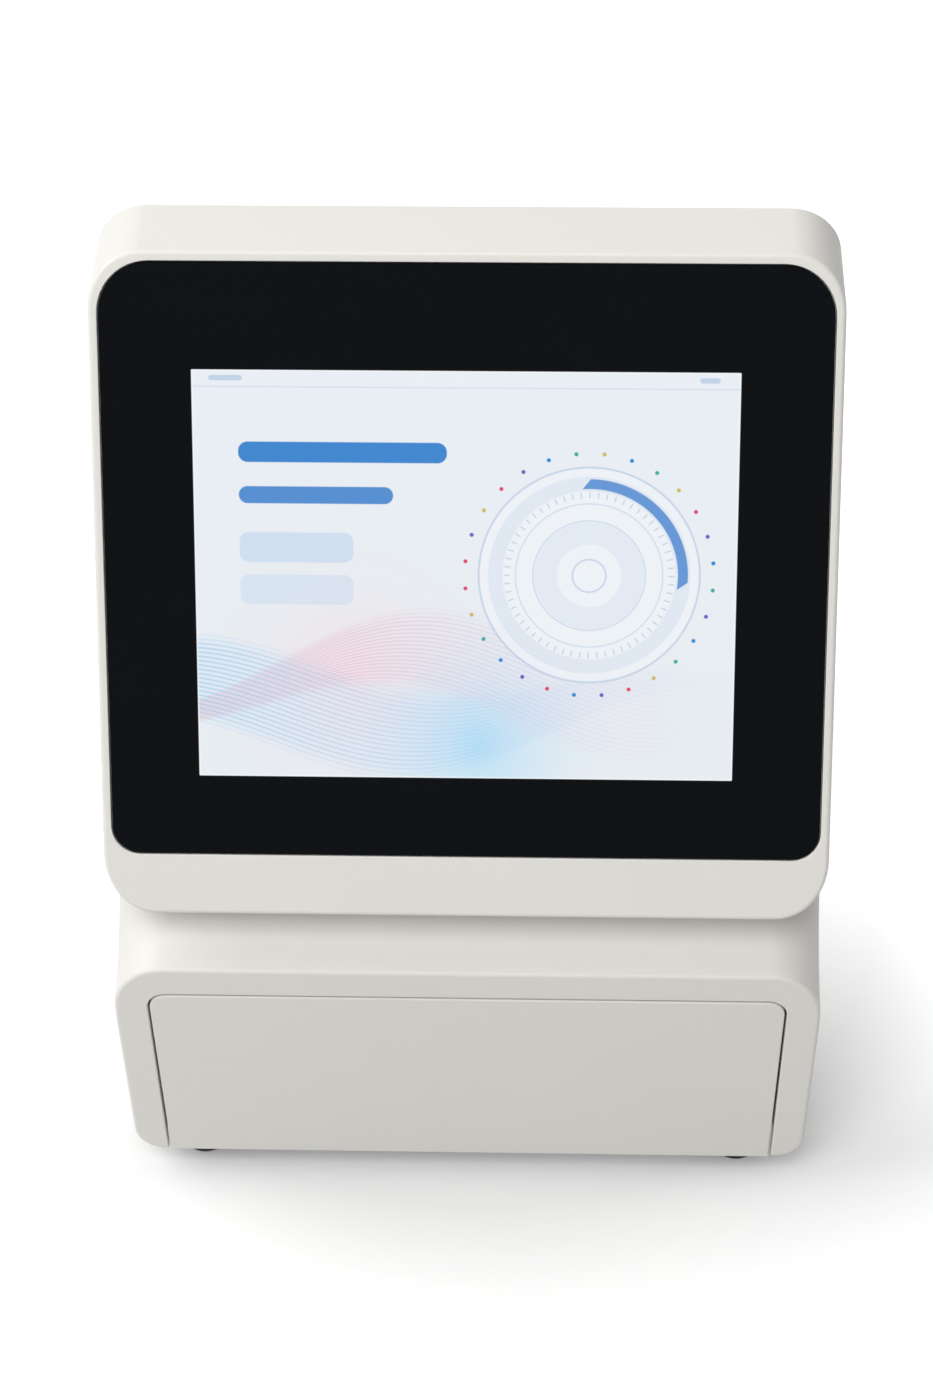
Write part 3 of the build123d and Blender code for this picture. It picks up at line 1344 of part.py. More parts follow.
def network_socket():
    """Network socket with a latch notch under its mouth."""
    x, z = network_middle()
    front = PORT_FACE - PLUG_L
    latch_z = z + PLUG_RISE - (PLUG_H + LATCH_H) / 2
    body = centred_block((x, z), NETWORK_W, NETWORK_H, PORT_FACE - NETWORK_L, PORT_FACE)
    body -= centred_block((x, z + PLUG_RISE), PLUG_W, PLUG_H, front, PORT_FACE)
    return body - centred_block((x, latch_z), LATCH_W, LATCH_H, front, PORT_FACE)


def power_inlet():
    """Mains inlet with a deep socket."""
    back = PORT_FACE + INLET_FLANGE
    width = INLET_W + 2 * INLET_RIM
    height = INLET_H + 2 * INLET_RIM
    body = centred_block(INLET_AT, INLET_W, INLET_H, PORT_FACE - INLET_L, PORT_FACE)
    body += centred_block(INLET_AT, width, height, PORT_FACE, back)
    mouth = centred_block(INLET_AT, SOCKET_W, SOCKET_H, back - SOCKET_L, back)
    upper = mouth.edges().filter_by(Axis.Y).group_by(Axis.Z)[-1]
    return body - chamfer(upper, SOCKET_BEVEL)


def inlet_pins():
    """Three flat pins in the inlet."""
    back = PORT_FACE + INLET_FLANGE
    x, z = INLET_AT
    places = [(x + dx, z + dz) for dx, dz in PIN_AT]
    return group(centred_block(place, PIN_W, PIN_H, back - SOCKET_L, back - PIN_SET) for place in places)


def switch_frame():
    """Frame of the power switch with bearings for the rocker."""
    back = PORT_FACE + INLET_FLANGE
    body = centred_block(SWITCH_AT, SWITCH_W, SWITCH_H, PORT_FACE - SWITCH_L, PORT_FACE)
    rim = 2 * SWITCH_WALL
    body += centred_block(SWITCH_AT, SWITCH_W + rim, SWITCH_H + rim, PORT_FACE, back)
    inner_w = SWITCH_W - rim
    body -= centred_block(SWITCH_AT, inner_w, SWITCH_H - rim, back - SWITCH_L / 2, back)
    x, z = SWITCH_AT
    reach = inner_w / 2 + SWITCH_WALL / 2
    return body - rod_x(PORT_FACE, z, x - reach, x + reach, ROCKER_PIN_R + SHAFT_FIT)


def switch_rocker():
    """Rocker with two pivot pins; the upper half of its face stands out, the lower half is pressed in."""
    x, z = SWITCH_AT
    half_w = SWITCH_W / 2 - SWITCH_WALL - ROCKER_GAP
    half_h = SWITCH_H / 2 - SWITCH_WALL - ROCKER_END
    rise = half_h * tan(radians(ROCKER_ANGLE))
    pressed = INLET_FLANGE - rise / 2
    outline = Polyline((-ROCKER_DEPTH, 0), (-rise, -half_h), (pressed, -half_h), (pressed, 0),
                       (pressed + rise, half_h), (-rise, half_h), close=True)
    rocker = Pos(x, PORT_FACE, z) * extrude(Plane.YZ * make_face(outline), amount=half_w, both=True)
    pin_reach = half_w + ROCKER_PIN_REACH - SHAFT_FIT
    return rocker + rod_x(PORT_FACE, z, x - pin_reach, x + pin_reach, ROCKER_PIN_R)


def fan_front():
    """y of the fan's inner face."""
    return DEPTH - WALL - FAN_T


def fan_frame():
    """Square fan frame with four struts that carry the bearing pin."""
    front = fan_front()
    profile = RectangleRounded(FAN_SIZE, FAN_SIZE, FAN_CORNER_R) - Circle(FAN_BORE_R)
    for x, z in corners(FAN_HOLES, FAN_HOLES):
        profile -= Pos(x, z) * Circle(SCREW_R + SCREW_FIT)
    frame = Pos(0, front, FAN_Z) * Rot(-90, 0, 0) * extrude(profile, amount=FAN_T)
    frame += rod_y(0, FAN_Z, front, front + FAN_STRUT_T, FAN_HUB_R)
    bar = Pos(0, FAN_STRUT_T / 2, 0) * Box(2 * FAN_BORE_R + FAN_STRUT_T, FAN_STRUT_T, FAN_STRUT_W)
    for turn in (45, 135):
        frame += Pos(0, front, FAN_Z) * Rot(0, turn, 0) * bar
    return frame + rod_y(0, FAN_Z, front, front + FAN_PIN_L, FAN_PIN_R)


def fan_rotor():
    """Hub with seven twisted blades that turns on the pin."""
    front = fan_front() + FAN_STRUT_T + FAN_GAP
    hub = rod_y(0, FAN_Z, front, front + FAN_HUB_L, FAN_HUB_R)
    root = FAN_HUB_R - FAN_BLADE_T
    reach = FAN_BORE_R - FAN_GAP
    blade = Rot(FAN_BLADE_TWIST, 0, 0) * Box(reach - root, FAN_HUB_L, FAN_BLADE_T)
    blade = Pos((root + reach) / 2, 0, 0) * blade
    for i in range(FAN_BLADES):
        hub += Pos(0, front + FAN_HUB_L / 2, FAN_Z) * Rot(0, i * 360 / FAN_BLADES, 0) * blade
    return hub - rod_y(0, FAN_Z, front, front + FAN_HUB_L - FAN_GAP, FAN_PIN_R + SHAFT_FIT)


def export(parts):
    """Write each part to its own file, with y = 0 moved to the middle of the depth."""
    os.makedirs("parts", exist_ok=True)
    for make in parts:
        export_step(Pos(0, -DEPTH / 2, 0) * make(), f"parts/{make.__name__}.step")


def export_pairs(parts):
    """Write each part of the right side and its mirror image on the left."""
    for make in parts:
        right = Pos(0, -DEPTH / 2, 0) * make()
        export_step(right, f"parts/right_{make.__name__}.step")
        export_step(left_of(right), f"parts/left_{make.__name__}.step")


SINGLE_PARTS = (
    front_housing, rear_cover, cover_glass, glass_gasket, lcd_panel, lcd_bracket, bracket_screws,
    main_board, main_board_parts, board_standoffs, board_screws, speaker,
    base_chassis, feet, housing_screws, rear_screws,
    drawer_front, drawer_tray, drawer_screws, heater_ring, spindle_motor, spindle_shaft, turntable_hub,
    frame_screws, drawer_rack, drive_pinion, drive_shaft, drive_bracket, drive_motor, home_sensor,
    bridge_plate, upper_heater, optical_block, condenser_lens, flash_lamp,
    detector_holder, detector_board, code_reader,
    power_board, power_parts, port_board, usb_sockets, network_socket,
    power_inlet, inlet_pins, switch_frame, switch_rocker, fan_frame, fan_rotor,
)
PAIRED_PARTS = (outer_rail, inner_rail, ball_cage, balls, rail_bracket)

if __name__ == "__main__":
    export(SINGLE_PARTS)
    export_pairs(PAIRED_PARTS)
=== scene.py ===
from math import cos, pi, radians, sin

import bmesh
import bpy
from mathutils import Matrix, Vector


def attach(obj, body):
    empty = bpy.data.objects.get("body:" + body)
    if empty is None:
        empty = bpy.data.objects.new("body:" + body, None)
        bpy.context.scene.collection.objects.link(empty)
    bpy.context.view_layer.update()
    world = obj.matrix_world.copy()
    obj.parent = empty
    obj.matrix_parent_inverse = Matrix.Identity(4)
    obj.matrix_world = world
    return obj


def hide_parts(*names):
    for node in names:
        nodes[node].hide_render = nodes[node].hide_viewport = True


# Dry chemistry analyzer: a tilted touch screen over a concave neck, and a motor drawer in the base.
# Sizes are in metres unless a name says otherwise: x to the right, y to the rear, z up.
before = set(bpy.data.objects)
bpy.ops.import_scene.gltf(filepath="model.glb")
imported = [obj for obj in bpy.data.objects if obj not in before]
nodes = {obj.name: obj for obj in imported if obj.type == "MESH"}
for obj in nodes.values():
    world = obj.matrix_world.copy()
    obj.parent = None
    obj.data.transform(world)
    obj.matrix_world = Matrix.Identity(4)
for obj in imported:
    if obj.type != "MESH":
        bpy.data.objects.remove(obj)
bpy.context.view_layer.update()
MM = 0.001


# Camera. A long lens looks down on the instrument from in front, a little from the left,
# and is turned slightly on its own axis.
IMAGE_HEIGHT = 1400          # of the photograph, in pixels
FOCAL_LENGTH = 3342.0        # in the same pixels
SENSOR_HEIGHT = 36           # in millimetres
LENS_PLACE = (0.030626, -0.85644, 0.839566)
look_down, look_left, lens_roll = radians(40.854), radians(-2.267), radians(0.924)

camera_data = bpy.data.cameras.new("camera")
camera_data.sensor_fit = "VERTICAL"
camera_data.sensor_height = SENSOR_HEIGHT
camera_data.lens = FOCAL_LENGTH / IMAGE_HEIGHT * SENSOR_HEIGHT
camera_data.clip_end = 50
camera = bpy.data.objects.new("camera", camera_data)
bpy.context.scene.collection.objects.link(camera)
ahead = Vector((sin(look_left) * cos(look_down), cos(look_left) * cos(look_down), -sin(look_down)))
level = Vector((cos(look_left), -sin(look_left), 0))
below = ahead.cross(level)
right = level * cos(lens_roll) + below * sin(lens_roll)
down = below * cos(lens_roll) - level * sin(lens_roll)
turn = Matrix((right, -down, -ahead)).transposed().to_4x4()
camera.matrix_world = Matrix.Translation(LENS_PLACE) @ turn
bpy.context.scene.camera = camera


# Studio. A pale paper sweep that keeps the instrument's shadow near it, with a painted glow for
# seen rays that whitens the paper and washes out that shadow farther out and to the rear; a soft
# lamp high on the left, a softer one high in front, and a weak light from all round that is
# stronger from above and left.
# A wire is one value in a tree of shader nodes that can be used in a formula, a recipe makes
# the nodes of one tree, and a finish is the recipe of a material.
class Wire:
    def __init__(self, recipe, socket):
        self.recipe = recipe
        self.socket = socket

    def math(self, operation, *others):
        values = dict(enumerate((self, *others)))
        return self.recipe.node("ShaderNodeMath", {"operation": operation}, values)

    def reflected(self, operation, first):
        return self.recipe.node("ShaderNodeMath", {"operation": operation}, {0: first, 1: self})

    def __add__(self, other):
        return self.math("ADD", other)

    def __sub__(self, other):
        return self.math("SUBTRACT", other)

    def __mul__(self, other):
        return self.math("MULTIPLY", other)

    def __truediv__(self, other):
        return self.math("DIVIDE", other)

    def __pow__(self, other):
        return self.math("POWER", other)

    def __abs__(self):
        return self.math("ABSOLUTE")

    def __rsub__(self, other):
        return self.reflected("SUBTRACT", other)

    def __rtruediv__(self, other):
        return self.reflected("DIVIDE", other)

    __radd__ = __add__
    __rmul__ = __mul__

    def clamp(self):
        return self.recipe.node("ShaderNodeClamp", {}, {"Value": self}, "Result")


class Recipe:
    def __init__(self, tree):
        self.tree = tree

    def node(self, kind, settings, values, output=0):
        made = self.tree.nodes.new(kind)
        for name, value in settings.items():
            if name == "stops":
                ramp = made.color_ramp
                while len(ramp.elements) < len(value):
                    ramp.elements.new(1)
                for element, (position, colour) in zip(ramp.elements, value):
                    element.position = position
                    element.color = (*colour, 1)
            elif name == "steps":
                made.color_ramp.interpolation = value
            else:
                setattr(made, name, value)
        for name, value in values.items():
            self.fill(made.inputs[name], value)
        return Wire(self, made.outputs[output])

    def fill(self, socket, value):
        if isinstance(value, Wire):
            self.tree.links.new(value.socket, socket)
        elif socket.type == "RGBA":
            socket.default_value = (*value, 1)
        else:
            socket.default_value = value

    def mix(self, factor, first, second):
        values = {0: factor, 6: first, 7: second}
        return self.node("ShaderNodeMix", {"data_type": "RGBA"}, values, 2)

    def part(self, vector, axis):
        return self.node("ShaderNodeSeparateXYZ", {}, {"Vector": vector}, axis)

    def seen_rays(self):
        """1 for the rays that show a background: seen directly, in a gloss or through glass."""
        kinds = ("Is Camera Ray", "Is Glossy Ray", "Is Transmission Ray")
        direct, gloss, through = (self.node("ShaderNodeLightPath", {}, {}, kind) for kind in kinds)
        return (direct + gloss + through).clamp()


class Finish(Recipe):
    def __init__(self, name):
        self.material = bpy.data.materials.new(name)
        self.material.use_nodes = True
        super().__init__(self.material.node_tree)
        self.shader = self.tree.nodes["Principled BSDF"]
        self.place = self.node("ShaderNodeTexCoord", {}, {}, "Object")

    def surface(self, **values):
        for name, value in values.items():
            self.fill(self.shader.inputs[name.replace("_", " ")], value)
        return self

    def noise(self, size_mm, detail=2.0, stretch=(1, 1, 1)):
        place = self.node("ShaderNodeMapping", {}, {"Vector": self.place, "Scale": stretch})
        values = {"Vector": place, "Scale": 1 / (size_mm * MM), "Detail": detail}
        return self.node("ShaderNodeTexNoise", {}, values, "Fac")

    def bump(self, height, depth_mm):
        return self.node("ShaderNodeBump", {}, {"Height": height, "Distance": depth_mm * MM})


def grey(level):
    return (level, level, level)


SWEEP_HALF = 6.0             # half the side of the paper
CLEAR_FROM, CLEAR_OVER = 0.14, 0.16      # painted glow: seen rays find the paper whiter over this way from the middle
REAR_FROM, REAR_OVER = -0.11, 0.13       # and over this way to the rear

sweep_mesh = bmesh.new()
bmesh.ops.create_grid(sweep_mesh, x_segments=2, y_segments=2, size=SWEEP_HALF)
sweep_data = bpy.data.meshes.new("table")
sweep_mesh.to_mesh(sweep_data)
sweep_mesh.free()
sweep = bpy.data.objects.new("table", sweep_data)
bpy.context.scene.collection.objects.link(sweep)
paper = Finish("table_paper")
span = paper.node("ShaderNodeVectorMath", {"operation": "LENGTH"}, {0: paper.place}, "Value")
# Painted light: the paper glows for seen rays, grey 0.16 near the instrument rising to 0.8 away
# from it and to the rear, which whitens the paper and washes out the instrument's shadow there.
outward = ((span - CLEAR_FROM) / CLEAR_OVER).clamp()
rearward = ((paper.part(paper.place, "Y") - REAR_FROM) / REAR_OVER).clamp()
painted_floor_glow = paper.mix((outward + rearward).clamp(), grey(0.16), grey(0.80))
paper.surface(
    Base_Color=paper.mix(paper.noise(60, 1), grey(0.70), grey(0.72)), Roughness=0.9,
    Specular_IOR_Level=0.1, Emission_Strength=1.0,
    Emission_Color=paper.mix(paper.seen_rays(), grey(0), painted_floor_glow))
sweep_data.materials.append(paper.material)

world = bpy.data.worlds.new("studio")
bpy.context.scene.world = world
world.use_nodes = True
room = Recipe(world.node_tree)
direction = room.node("ShaderNodeTexCoord", {}, {}, "Generated")
from_left = 0.5 - room.part(direction, "X") * 0.5
from_above = room.part(direction, "Z").clamp()
room_light = room.mix(from_left * 0.6 + from_above * 0.4, grey(0), grey(0.62))
backdrop = world.node_tree.nodes["Background"].inputs["Color"]
room.fill(backdrop, room.mix(room.seen_rays(), room_light, grey(1)))


def soft_lamp(name, place, width, height, watts):
    lamp = bpy.data.lights.new(name, "AREA")
    lamp.shape = "RECTANGLE"
    lamp.size, lamp.size_y = width, height
    lamp.energy = watts
    holder = bpy.data.objects.new(name, lamp)
    bpy.context.scene.collection.objects.link(holder)
    holder.location = place
    aim = Vector((0, 0, 0.15)) - Vector(place)
    holder.rotation_euler = aim.to_track_quat("-Z", "Y").to_euler()


soft_lamp("high_left", (-1.3, 0.2, 1.5), 1.3, 1.3, 14)
soft_lamp("high_front", (-0.3, -1.2, 1.8), 1.2, 1.0, 21)
bpy.context.scene.view_settings.view_transform = "Standard"


# Chassis. A tray of zinc-plated steel sheet, folded up at the sides, carries everything in the
# base. The brackets and the bridge over the drawer are bent from the same sheet.
def shade(colour, factor):
    return tuple(min(1.0, part * factor) for part in colour)


MERGE_DISTANCE = 2e-6        # corners closer than this are one
SPANGLE = 6                  # crystals of the zinc, in millimetres


def dress(slot, finish):
    """Gives a finish to the CAD solids of one material slot."""
    for node in nodes.values():
        for place in node.material_slots:
            if place.material and place.material.name.split(".")[0] == slot:
                place.material = finish.material


def skin(name, node, body, finish, crease=35):
    """Takes over a CAD solid as one merged mesh, smooth except where it bends past the crease."""
    shell = bmesh.new()
    shell.from_mesh(nodes[node].data)
    bmesh.ops.remove_doubles(shell, verts=shell.verts, dist=MERGE_DISTANCE)
    for face in shell.faces:
        face.smooth = True
    for edge in shell.edges:
        edge.smooth = len(edge.link_faces) == 2 and edge.calc_face_angle(pi) < radians(crease)
    data = bpy.data.meshes.new(name)
    shell.to_mesh(data)
    shell.free()
    piece = bpy.data.objects.new(name, data)
    bpy.context.scene.collection.objects.link(piece)
    data.materials.append(finish.material)
    even = piece.modifiers.new("even_normals", "WEIGHTED_NORMAL")
    even.keep_sharp = True
    even.weight = 100
    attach(piece, body)
    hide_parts(node)


zinc_sheet = Finish("zinc_sheet")
crystals = zinc_sheet.node(
    "ShaderNodeTexVoronoi", {}, {"Vector": zinc_sheet.place, "Scale": 1 / (SPANGLE * MM)}, "Color")
spangle = zinc_sheet.node("ShaderNodeRGBToBW", {}, {"Color": crystals})
ZINC = (0.62, 0.63, 0.64)
zinc_sheet.surface(
    Base_Color=zinc_sheet.mix(spangle, shade(ZINC, 0.9), shade(ZINC, 1.08)), Metallic=0.9,
    Roughness=0.34 + spangle * 0.12)
dress("zinc_sheet", zinc_sheet)
skin("chassis", "base_chassis", "base", zinc_sheet)


# Feet. Four moulded rubber feet, black and matt. A screw sunk in each one holds it to the
# chassis.
DRIFT = 45                   # way over which a moulding's tone drifts, in millimetres


def satin_plastic(name, colour, grain_mm=0.45, depth_mm=0.012, roughness=0.46):
    """Moulded plastic or rubber: a fine grain, and a tone and gloss that drift a little."""
    finish = Finish(name)
    cloud = finish.noise(DRIFT, 3)
    grain = finish.noise(grain_mm, 2)
    tone = finish.mix(cloud, shade(colour, 0.985), shade(colour, 1.015))
    gloss = roughness - 0.05 + cloud * 0.06 + grain * 0.04
    return finish.surface(Base_Color=tone, Roughness=gloss, Normal=finish.bump(grain, depth_mm))


rubber = satin_plastic("foot_rubber", (0.024, 0.024, 0.027), 0.5, 0.05, 0.75)
skin("rubber_feet", "feet", "base", rubber)


# Slides. Rolled steel rails on both sides of the drawer, with steel balls in pressed brass cages
# between them. The outer rails are screwed to brackets on the chassis.
SCRATCH = 1.4                # marks of rolling and brushing, in millimetres


def brushed(name, colour, stretch, roughness=0.34, metal=1.0):
    """Worked metal, with fine marks that are drawn out where the stretch is below the others."""
    finish = Finish(name)
    scratch = finish.noise(SCRATCH, 4, stretch)
    tone = finish.mix(scratch, shade(colour, 0.9), shade(colour, 1.1))
    gloss = roughness + scratch * 0.16 - 0.08
    return finish.surface(
        Base_Color=tone, Metallic=metal, Roughness=gloss, Normal=finish.bump(scratch, 0.006))


rail_steel = brushed("rail_steel", (0.68, 0.69, 0.70), (1, 0.1, 1), 0.4, 0.9)
dress("rail_steel", rail_steel)
for side in ("left", "right"):
    skin(f"inner_rail_{side}", f"{side}_inner_rail", "drawer", rail_steel)
dress("ball_steel", brushed("ball_steel", (0.82, 0.82, 0.83), (1, 1, 1), 0.12))
cage_brass = brushed("standoff", (0.78, 0.58, 0.28), (1, 1, 5))
dress("standoff", cage_brass)


# Drive. A small motor in a dark case turns a ground steel shaft, whose moulded pinion runs in the
# drawer's rack.
motor_case = brushed("motor_case", (0.102, 0.102, 0.11), (1, 1, 6), 0.4, 0.3)
dress("motor_case", motor_case)
dress("shaft_steel", brushed("shaft_steel", (0.72, 0.72, 0.73), (6, 1, 1), 0.2))
dress("gear_plastic", satin_plastic("gear_plastic", (0.80, 0.78, 0.70), 0.4, 0.01, 0.4))


# Drawer. A grey moulded tray with a heated aluminium ring in its pocket. The spindle motor is
# screwed under the pocket, and its black hub takes the disc. The front panel is satin white ABS.
tray_plastic = satin_plastic("tray_plastic", (0.161, 0.169, 0.188), 0.5, 0.02, 0.4)
skin("tray", "drawer_tray", "drawer", tray_plastic)
heater_plate = brushed("heater_plate", (0.722, 0.729, 0.741), (1, 8, 1), 0.4, 0.9)
dress("heater_plate", heater_plate)
skin("heated_ring", "heater_ring", "drawer", heater_plate)
skin("hub_motor", "spindle_motor", "drawer", motor_case)
hub_plastic = satin_plastic("hub_plastic", (0.059, 0.059, 0.071), 0.6, 0.02, 0.4)
skin("disc_hub", "turntable_hub", "turntable", hub_plastic)
panel_white = satin_plastic("drawer_plastic", (0.79, 0.77, 0.725))
skin("drawer_panel", "drawer_front", "drawer", panel_white)


# Measuring head. A black anodised block over the drawer holds the lamp, a ground glass lens and
# the detector. It is screwed to the bridge.
dress("optics_metal", satin_plastic("optics_metal", (0.02, 0.02, 0.022), 0.4, 0.02, 0.55))
lens_glass = Finish("lens_glass")
lens_tone = lens_glass.noise(4, 2)
lens_glass.surface(
    Base_Color=lens_glass.mix(lens_tone, (0.86, 0.90, 0.93), (0.92, 0.95, 0.97)),
    Roughness=0.03 + lens_tone * 0.02, Transmission_Weight=0.95)
dress("lens_glass", lens_glass)


# Circuit boards. Green glass-fibre boards with paler copper tracks under the lacquer, and dark
# parts soldered on. They stand on the chassis and, on brass standoffs, behind the display.
TRACK = 9                    # spacing of the tracks, in millimetres
circuit_board = Finish("circuit_board")
tracks = circuit_board.node("ShaderNodeTexBrick", {"offset": 0.37, "squash": 1.0}, {
    "Vector": circuit_board.place, "Scale": 1 / (TRACK * MM), "Mortar Size": 0.035,
    "Color1": grey(0), "Color2": grey(0.2), "Mortar": grey(1)}, "Color")
copper = circuit_board.node("ShaderNodeRGBToBW", {}, {"Color": tracks})
circuit_board.surface(
    Base_Color=circuit_board.mix(copper, (0.012, 0.085, 0.035), (0.035, 0.17, 0.075)),
    Roughness=0.38, Normal=circuit_board.bump(copper, 0.03))
dress("circuit_board", circuit_board)
dress("board_parts", satin_plastic("board_parts", (0.025, 0.025, 0.028), 0.5, 0.02, 0.5))


# Rear connectors, mains switch and fan. Black moulded bodies behind the openings of the rear
# cover, and plated steel sockets on the port board. The rocker tips, and the fan's rotor turns.
black_plastic = satin_plastic("black_plastic", (0.035, 0.035, 0.039), 0.5, 0.02, 0.4)
dress("black_plastic", black_plastic)
for name, node, body in (
        ("mains_inlet", "power_inlet", "base"), ("switch_bezel", "switch_frame", "base"),
        ("mains_rocker", "switch_rocker", "rocker"), ("fan_housing", "fan_frame", "base"),
        ("fan_blades", "fan_rotor", "rotor")):
    skin(name, node, body, black_plastic)
socket_shell = brushed("socket_shell", (0.698, 0.698, 0.71), (1, 6, 1), 0.4)
skin("network_jack", "network_socket", "base", socket_shell)
skin("usb_jacks", "usb_sockets", "base", socket_shell)


# Housing. The front is one ABS moulding: screen surround, concave neck and drawer surround.
# The rear cover slips into it with a small step at the seam. Both come satin from the mould.
shell_white = satin_plastic("housing_plastic", (0.80, 0.78, 0.735))
skin("front_moulding", "front_housing", "base", shell_white)
skin("rear_moulding", "rear_cover", "base", shell_white)


# Screws. Plated steel machine screws hold boards, brackets, housing and drawer panel. The pins
# of the mains inlet are plated alike.
dress("fastener", brushed("fastener", (0.55, 0.55, 0.56), (1, 1, 5)))


# Display. A steel-framed panel on its bracket behind the glass, with a black foam frame between
# the glass and the housing.
dress("display", brushed("display", (0.55, 0.56, 0.58), (1, 6, 1)))
dress("foam", satin_plastic("foam", (0.03, 0.03, 0.03), 0.6, 0.2, 0.9))


# Cover glass. Flat glass printed black from behind, with a clear window over the display. The
# picture behind it is a plain start screen: bars, ribbons of fine lines, and a timer with rings,
# ticks and dots. Places on it are in millimetres from its middle, across and up the face.
FACE_LEAN = radians(25)
FACE_MIDDLE = Vector((0, -77.1, 213.2))
PICTURE_HALF_W, PICTURE_HALF_H = 81.0, 62.6
PRINT_EDGE = 0.25            # softness of a printed edge
BORDER = 0.35                # pale line round the picture

glass = Finish("cover_glass")


def along(direction, start):
    """How far a point of the glass lies along a direction."""
    values = {0: glass.place, 1: tuple(direction / MM)}
    way = glass.node("ShaderNodeVectorMath", {"operation": "DOT_PRODUCT"}, values, "Value")
    return way - start


def inside(distance):
    """1 where a signed distance is below zero, with a soft edge."""
    return (0.5 - distance / PRINT_EDGE).clamp()


def length(dx, dy):
    return (dx * dx + dy * dy).math("SQRT")


def rounded_bar(x, y, half_w, half_h, corner):
    """Signed distance from the outline of a bar with round corners."""
    dx = (abs(across - x) - (half_w - corner)).math("MAXIMUM", 0.0)
    dy = (abs(height - y) - (half_h - corner)).math("MAXIMUM", 0.0)
    return length(dx, dy) - corner


face_up = Vector((0, sin(FACE_LEAN), cos(FACE_LEAN)))
across = along(Vector((1, 0, 0)), 0.0)
height = along(face_up, face_up.dot(FACE_MIDDLE))
lit = inside(rounded_bar(0.0, 0.0, PICTURE_HALF_W, PICTURE_HALF_H, 0.3))
upward = (height / (2 * PICTURE_HALF_H) + 0.5).clamp()
picture = glass.mix(upward, (0.79, 0.83, 0.87), (0.80, 0.845, 0.885))
for x, y, size, strength, colour in (
        (-34.0, -30.0, 52, 0.5, (0.93, 0.66, 0.70)), (4.0, -52.0, 46, 0.8, (0.36, 0.70, 0.92))):
    glow = (1 - length(across - x, height - y) / size).clamp() ** 2
    picture = glass.mix(glow * strength, picture, colour)

# Fine lines in two ribbons that cross the lower part of the picture and die away to the right.
FINE_LINES = 11.0            # in the half width of a ribbon
FADE_LENGTH = 210.0
rightward = (across / (2 * PICTURE_HALF_W) + 0.5).clamp()
fade = (0.80 - (across + PICTURE_HALF_W) / FADE_LENGTH).clamp()
for lift, swing, phase, spread_at, near, far in (
        (-33.0, 11.0, 2.3, 0.9, (0.78, 0.30, 0.38), (0.62, 0.50, 0.80)),
        (-40.0, 9.0, 5.2, 2.7, (0.22, 0.55, 0.86), (0.50, 0.56, 0.86))):
    middle = lift + swing * (across * 0.040 + phase).math("SINE")
    spread = 10.0 + 7.0 * (across * 0.024 + spread_at).math("SINE")
    offset = (height - middle) / spread
    line = abs((offset * FINE_LINES).math("FRACT") - 0.5) * 2.0
    stripe = ((line - 0.45) * 2.5).clamp()
    veil = ((1 - abs(offset)) * 3.0).clamp()
    ink = glass.mix(rightward, near, far)
    picture = glass.mix((stripe * 0.65 + 0.14) * veil * fade, picture, ink)

# The timer: a pale disc with rings, sixty ticks, a blue arc and a row of coloured dots.
TIMER_X, TIMER_Y = 37.0, 1.0
TIMER_R = 33.0
ARC_R, ARC_MIDDLE, ARC_REACH = 28.0, 0.75, 24.0
TICKS, TICK_R = 60, 24.6
DOTS, DOT_LINE, DOT_R = 28, 37.2, 0.62
reach = length(across - TIMER_X, height - TIMER_Y)
bearing = (height - TIMER_Y).math("ARCTAN2", across - TIMER_X)
picture = glass.mix(inside(reach - TIMER_R) * 0.7, picture, (0.86, 0.89, 0.93))
for radius, half, strength in (
        (TIMER_R, 0.3, 0.55), (ARC_R, 2.2, 0.22), (22.0, 0.2, 0.45), (13.0, 3.4, 0.18),
        (16.8, 0.2, 0.5), (5.0, 0.25, 0.6)):
    ring = inside(abs(reach - radius) - half)
    picture = glass.mix(ring * strength, picture, (0.36, 0.50, 0.70))
tick = abs((bearing * (TICKS / (2 * pi)) + TICKS).math("FRACT") - 0.5) - 0.38
tick_row = inside(abs(reach - TICK_R) - 0.9)
picture = glass.mix((tick * 10.0).clamp() * tick_row * 0.6, picture, (0.30, 0.44, 0.66))
arc = inside(abs(bearing - ARC_MIDDLE) * reach - ARC_REACH)
picture = glass.mix(inside(abs(reach - ARC_R) - 1.5) * arc * 0.85, picture, (0.02, 0.22, 0.62))
turned = bearing * (DOTS / (2 * pi)) + DOTS
dot_x = (turned.math("FRACT") - 0.5) * (2 * pi * DOT_LINE / DOTS)
dot_y = reach - DOT_LINE
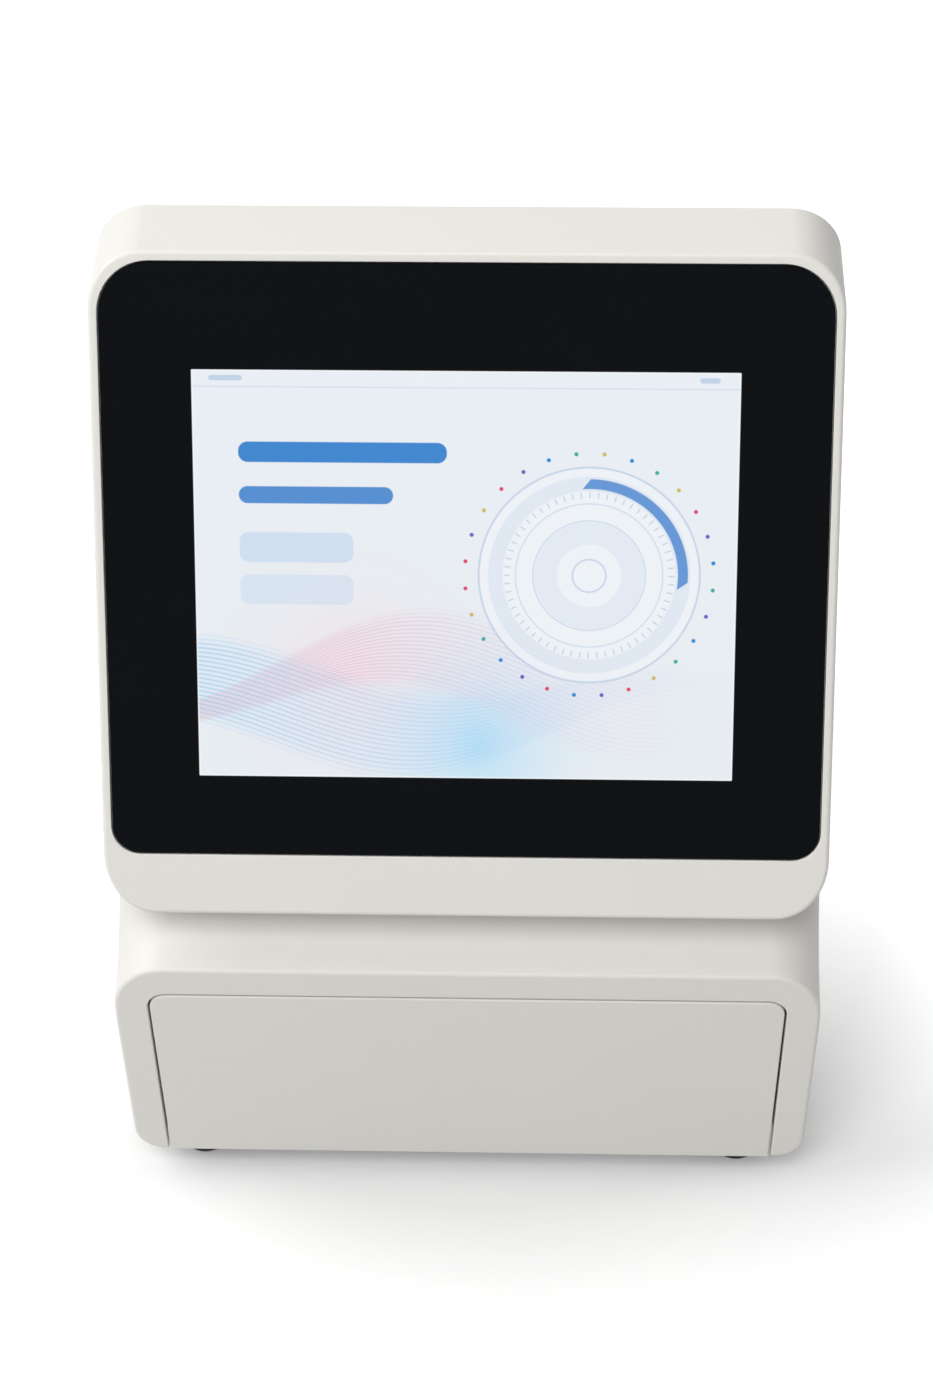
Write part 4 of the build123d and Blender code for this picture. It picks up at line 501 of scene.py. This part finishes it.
dot_colours = (
    (0.0, (0.75, 0.05, 0.14)), (0.2, (0.02, 0.25, 0.65)), (0.4, (0.62, 0.48, 0.10)),
    (0.6, (0.16, 0.10, 0.55)), (0.8, (0.03, 0.42, 0.38)))
pick = (turned.math("FLOOR") * 0.37).math("FRACT")
dots = glass.node(
    "ShaderNodeValToRGB", {"stops": dot_colours, "steps": "CONSTANT"}, {"Fac": pick}, "Color")
picture = glass.mix(inside(length(dot_x, dot_y) - DOT_R), picture, dots)

# Bars stand for the headings, the buttons and the status line of the start screen.
DEEP_BLUE, ICE_BLUE = (0.006, 0.20, 0.60), (0.44, 0.62, 0.85)
LINE_BLUE, MARK_BLUE = (0.55, 0.66, 0.80), (0.35, 0.50, 0.72)
BAR_CORNER = 2.8
for x, y, half_w, half_h, colour, strength in (
        (-36.5, 38.0, 31.0, 3.1, DEEP_BLUE, 0.95), (-44.5, 25.0, 23.0, 2.6, DEEP_BLUE, 0.9),
        (-50.5, 9.0, 17.0, 4.6, ICE_BLUE, 0.5), (-50.5, -4.0, 17.0, 4.6, ICE_BLUE, 0.34),
        (0.0, 57.6, PICTURE_HALF_W, 0.25, LINE_BLUE, 0.5),
        (-71.0, 60.2, 5.0, 0.8, MARK_BLUE, 0.6), (72.0, 60.2, 3.0, 0.8, MARK_BLUE, 0.6)):
    bar = inside(rounded_bar(x, y, half_w, half_h, min(half_h, BAR_CORNER)))
    picture = glass.mix(bar * strength, picture, colour)
border = 1 - inside(
    rounded_bar(0.0, 0.0, PICTURE_HALF_W - BORDER, PICTURE_HALF_H - BORDER, 0.3))
picture = glass.mix(border * 0.8, picture, (0.95, 0.97, 1.0))

smudge = glass.noise(38, 4)
print_black = glass.mix(smudge, (0.0022, 0.0032, 0.0045), (0.0030, 0.0042, 0.0058))
glass.surface(
    Base_Color=glass.mix(lit, print_black, (0.01, 0.012, 0.014)), Roughness=0.07 + smudge * 0.05,
    Emission_Color=glass.mix(lit, grey(0), picture), Emission_Strength=1.0,
    Specular_IOR_Level=0.045)
skin("glass_plate", "cover_glass", "base", glass, 20)
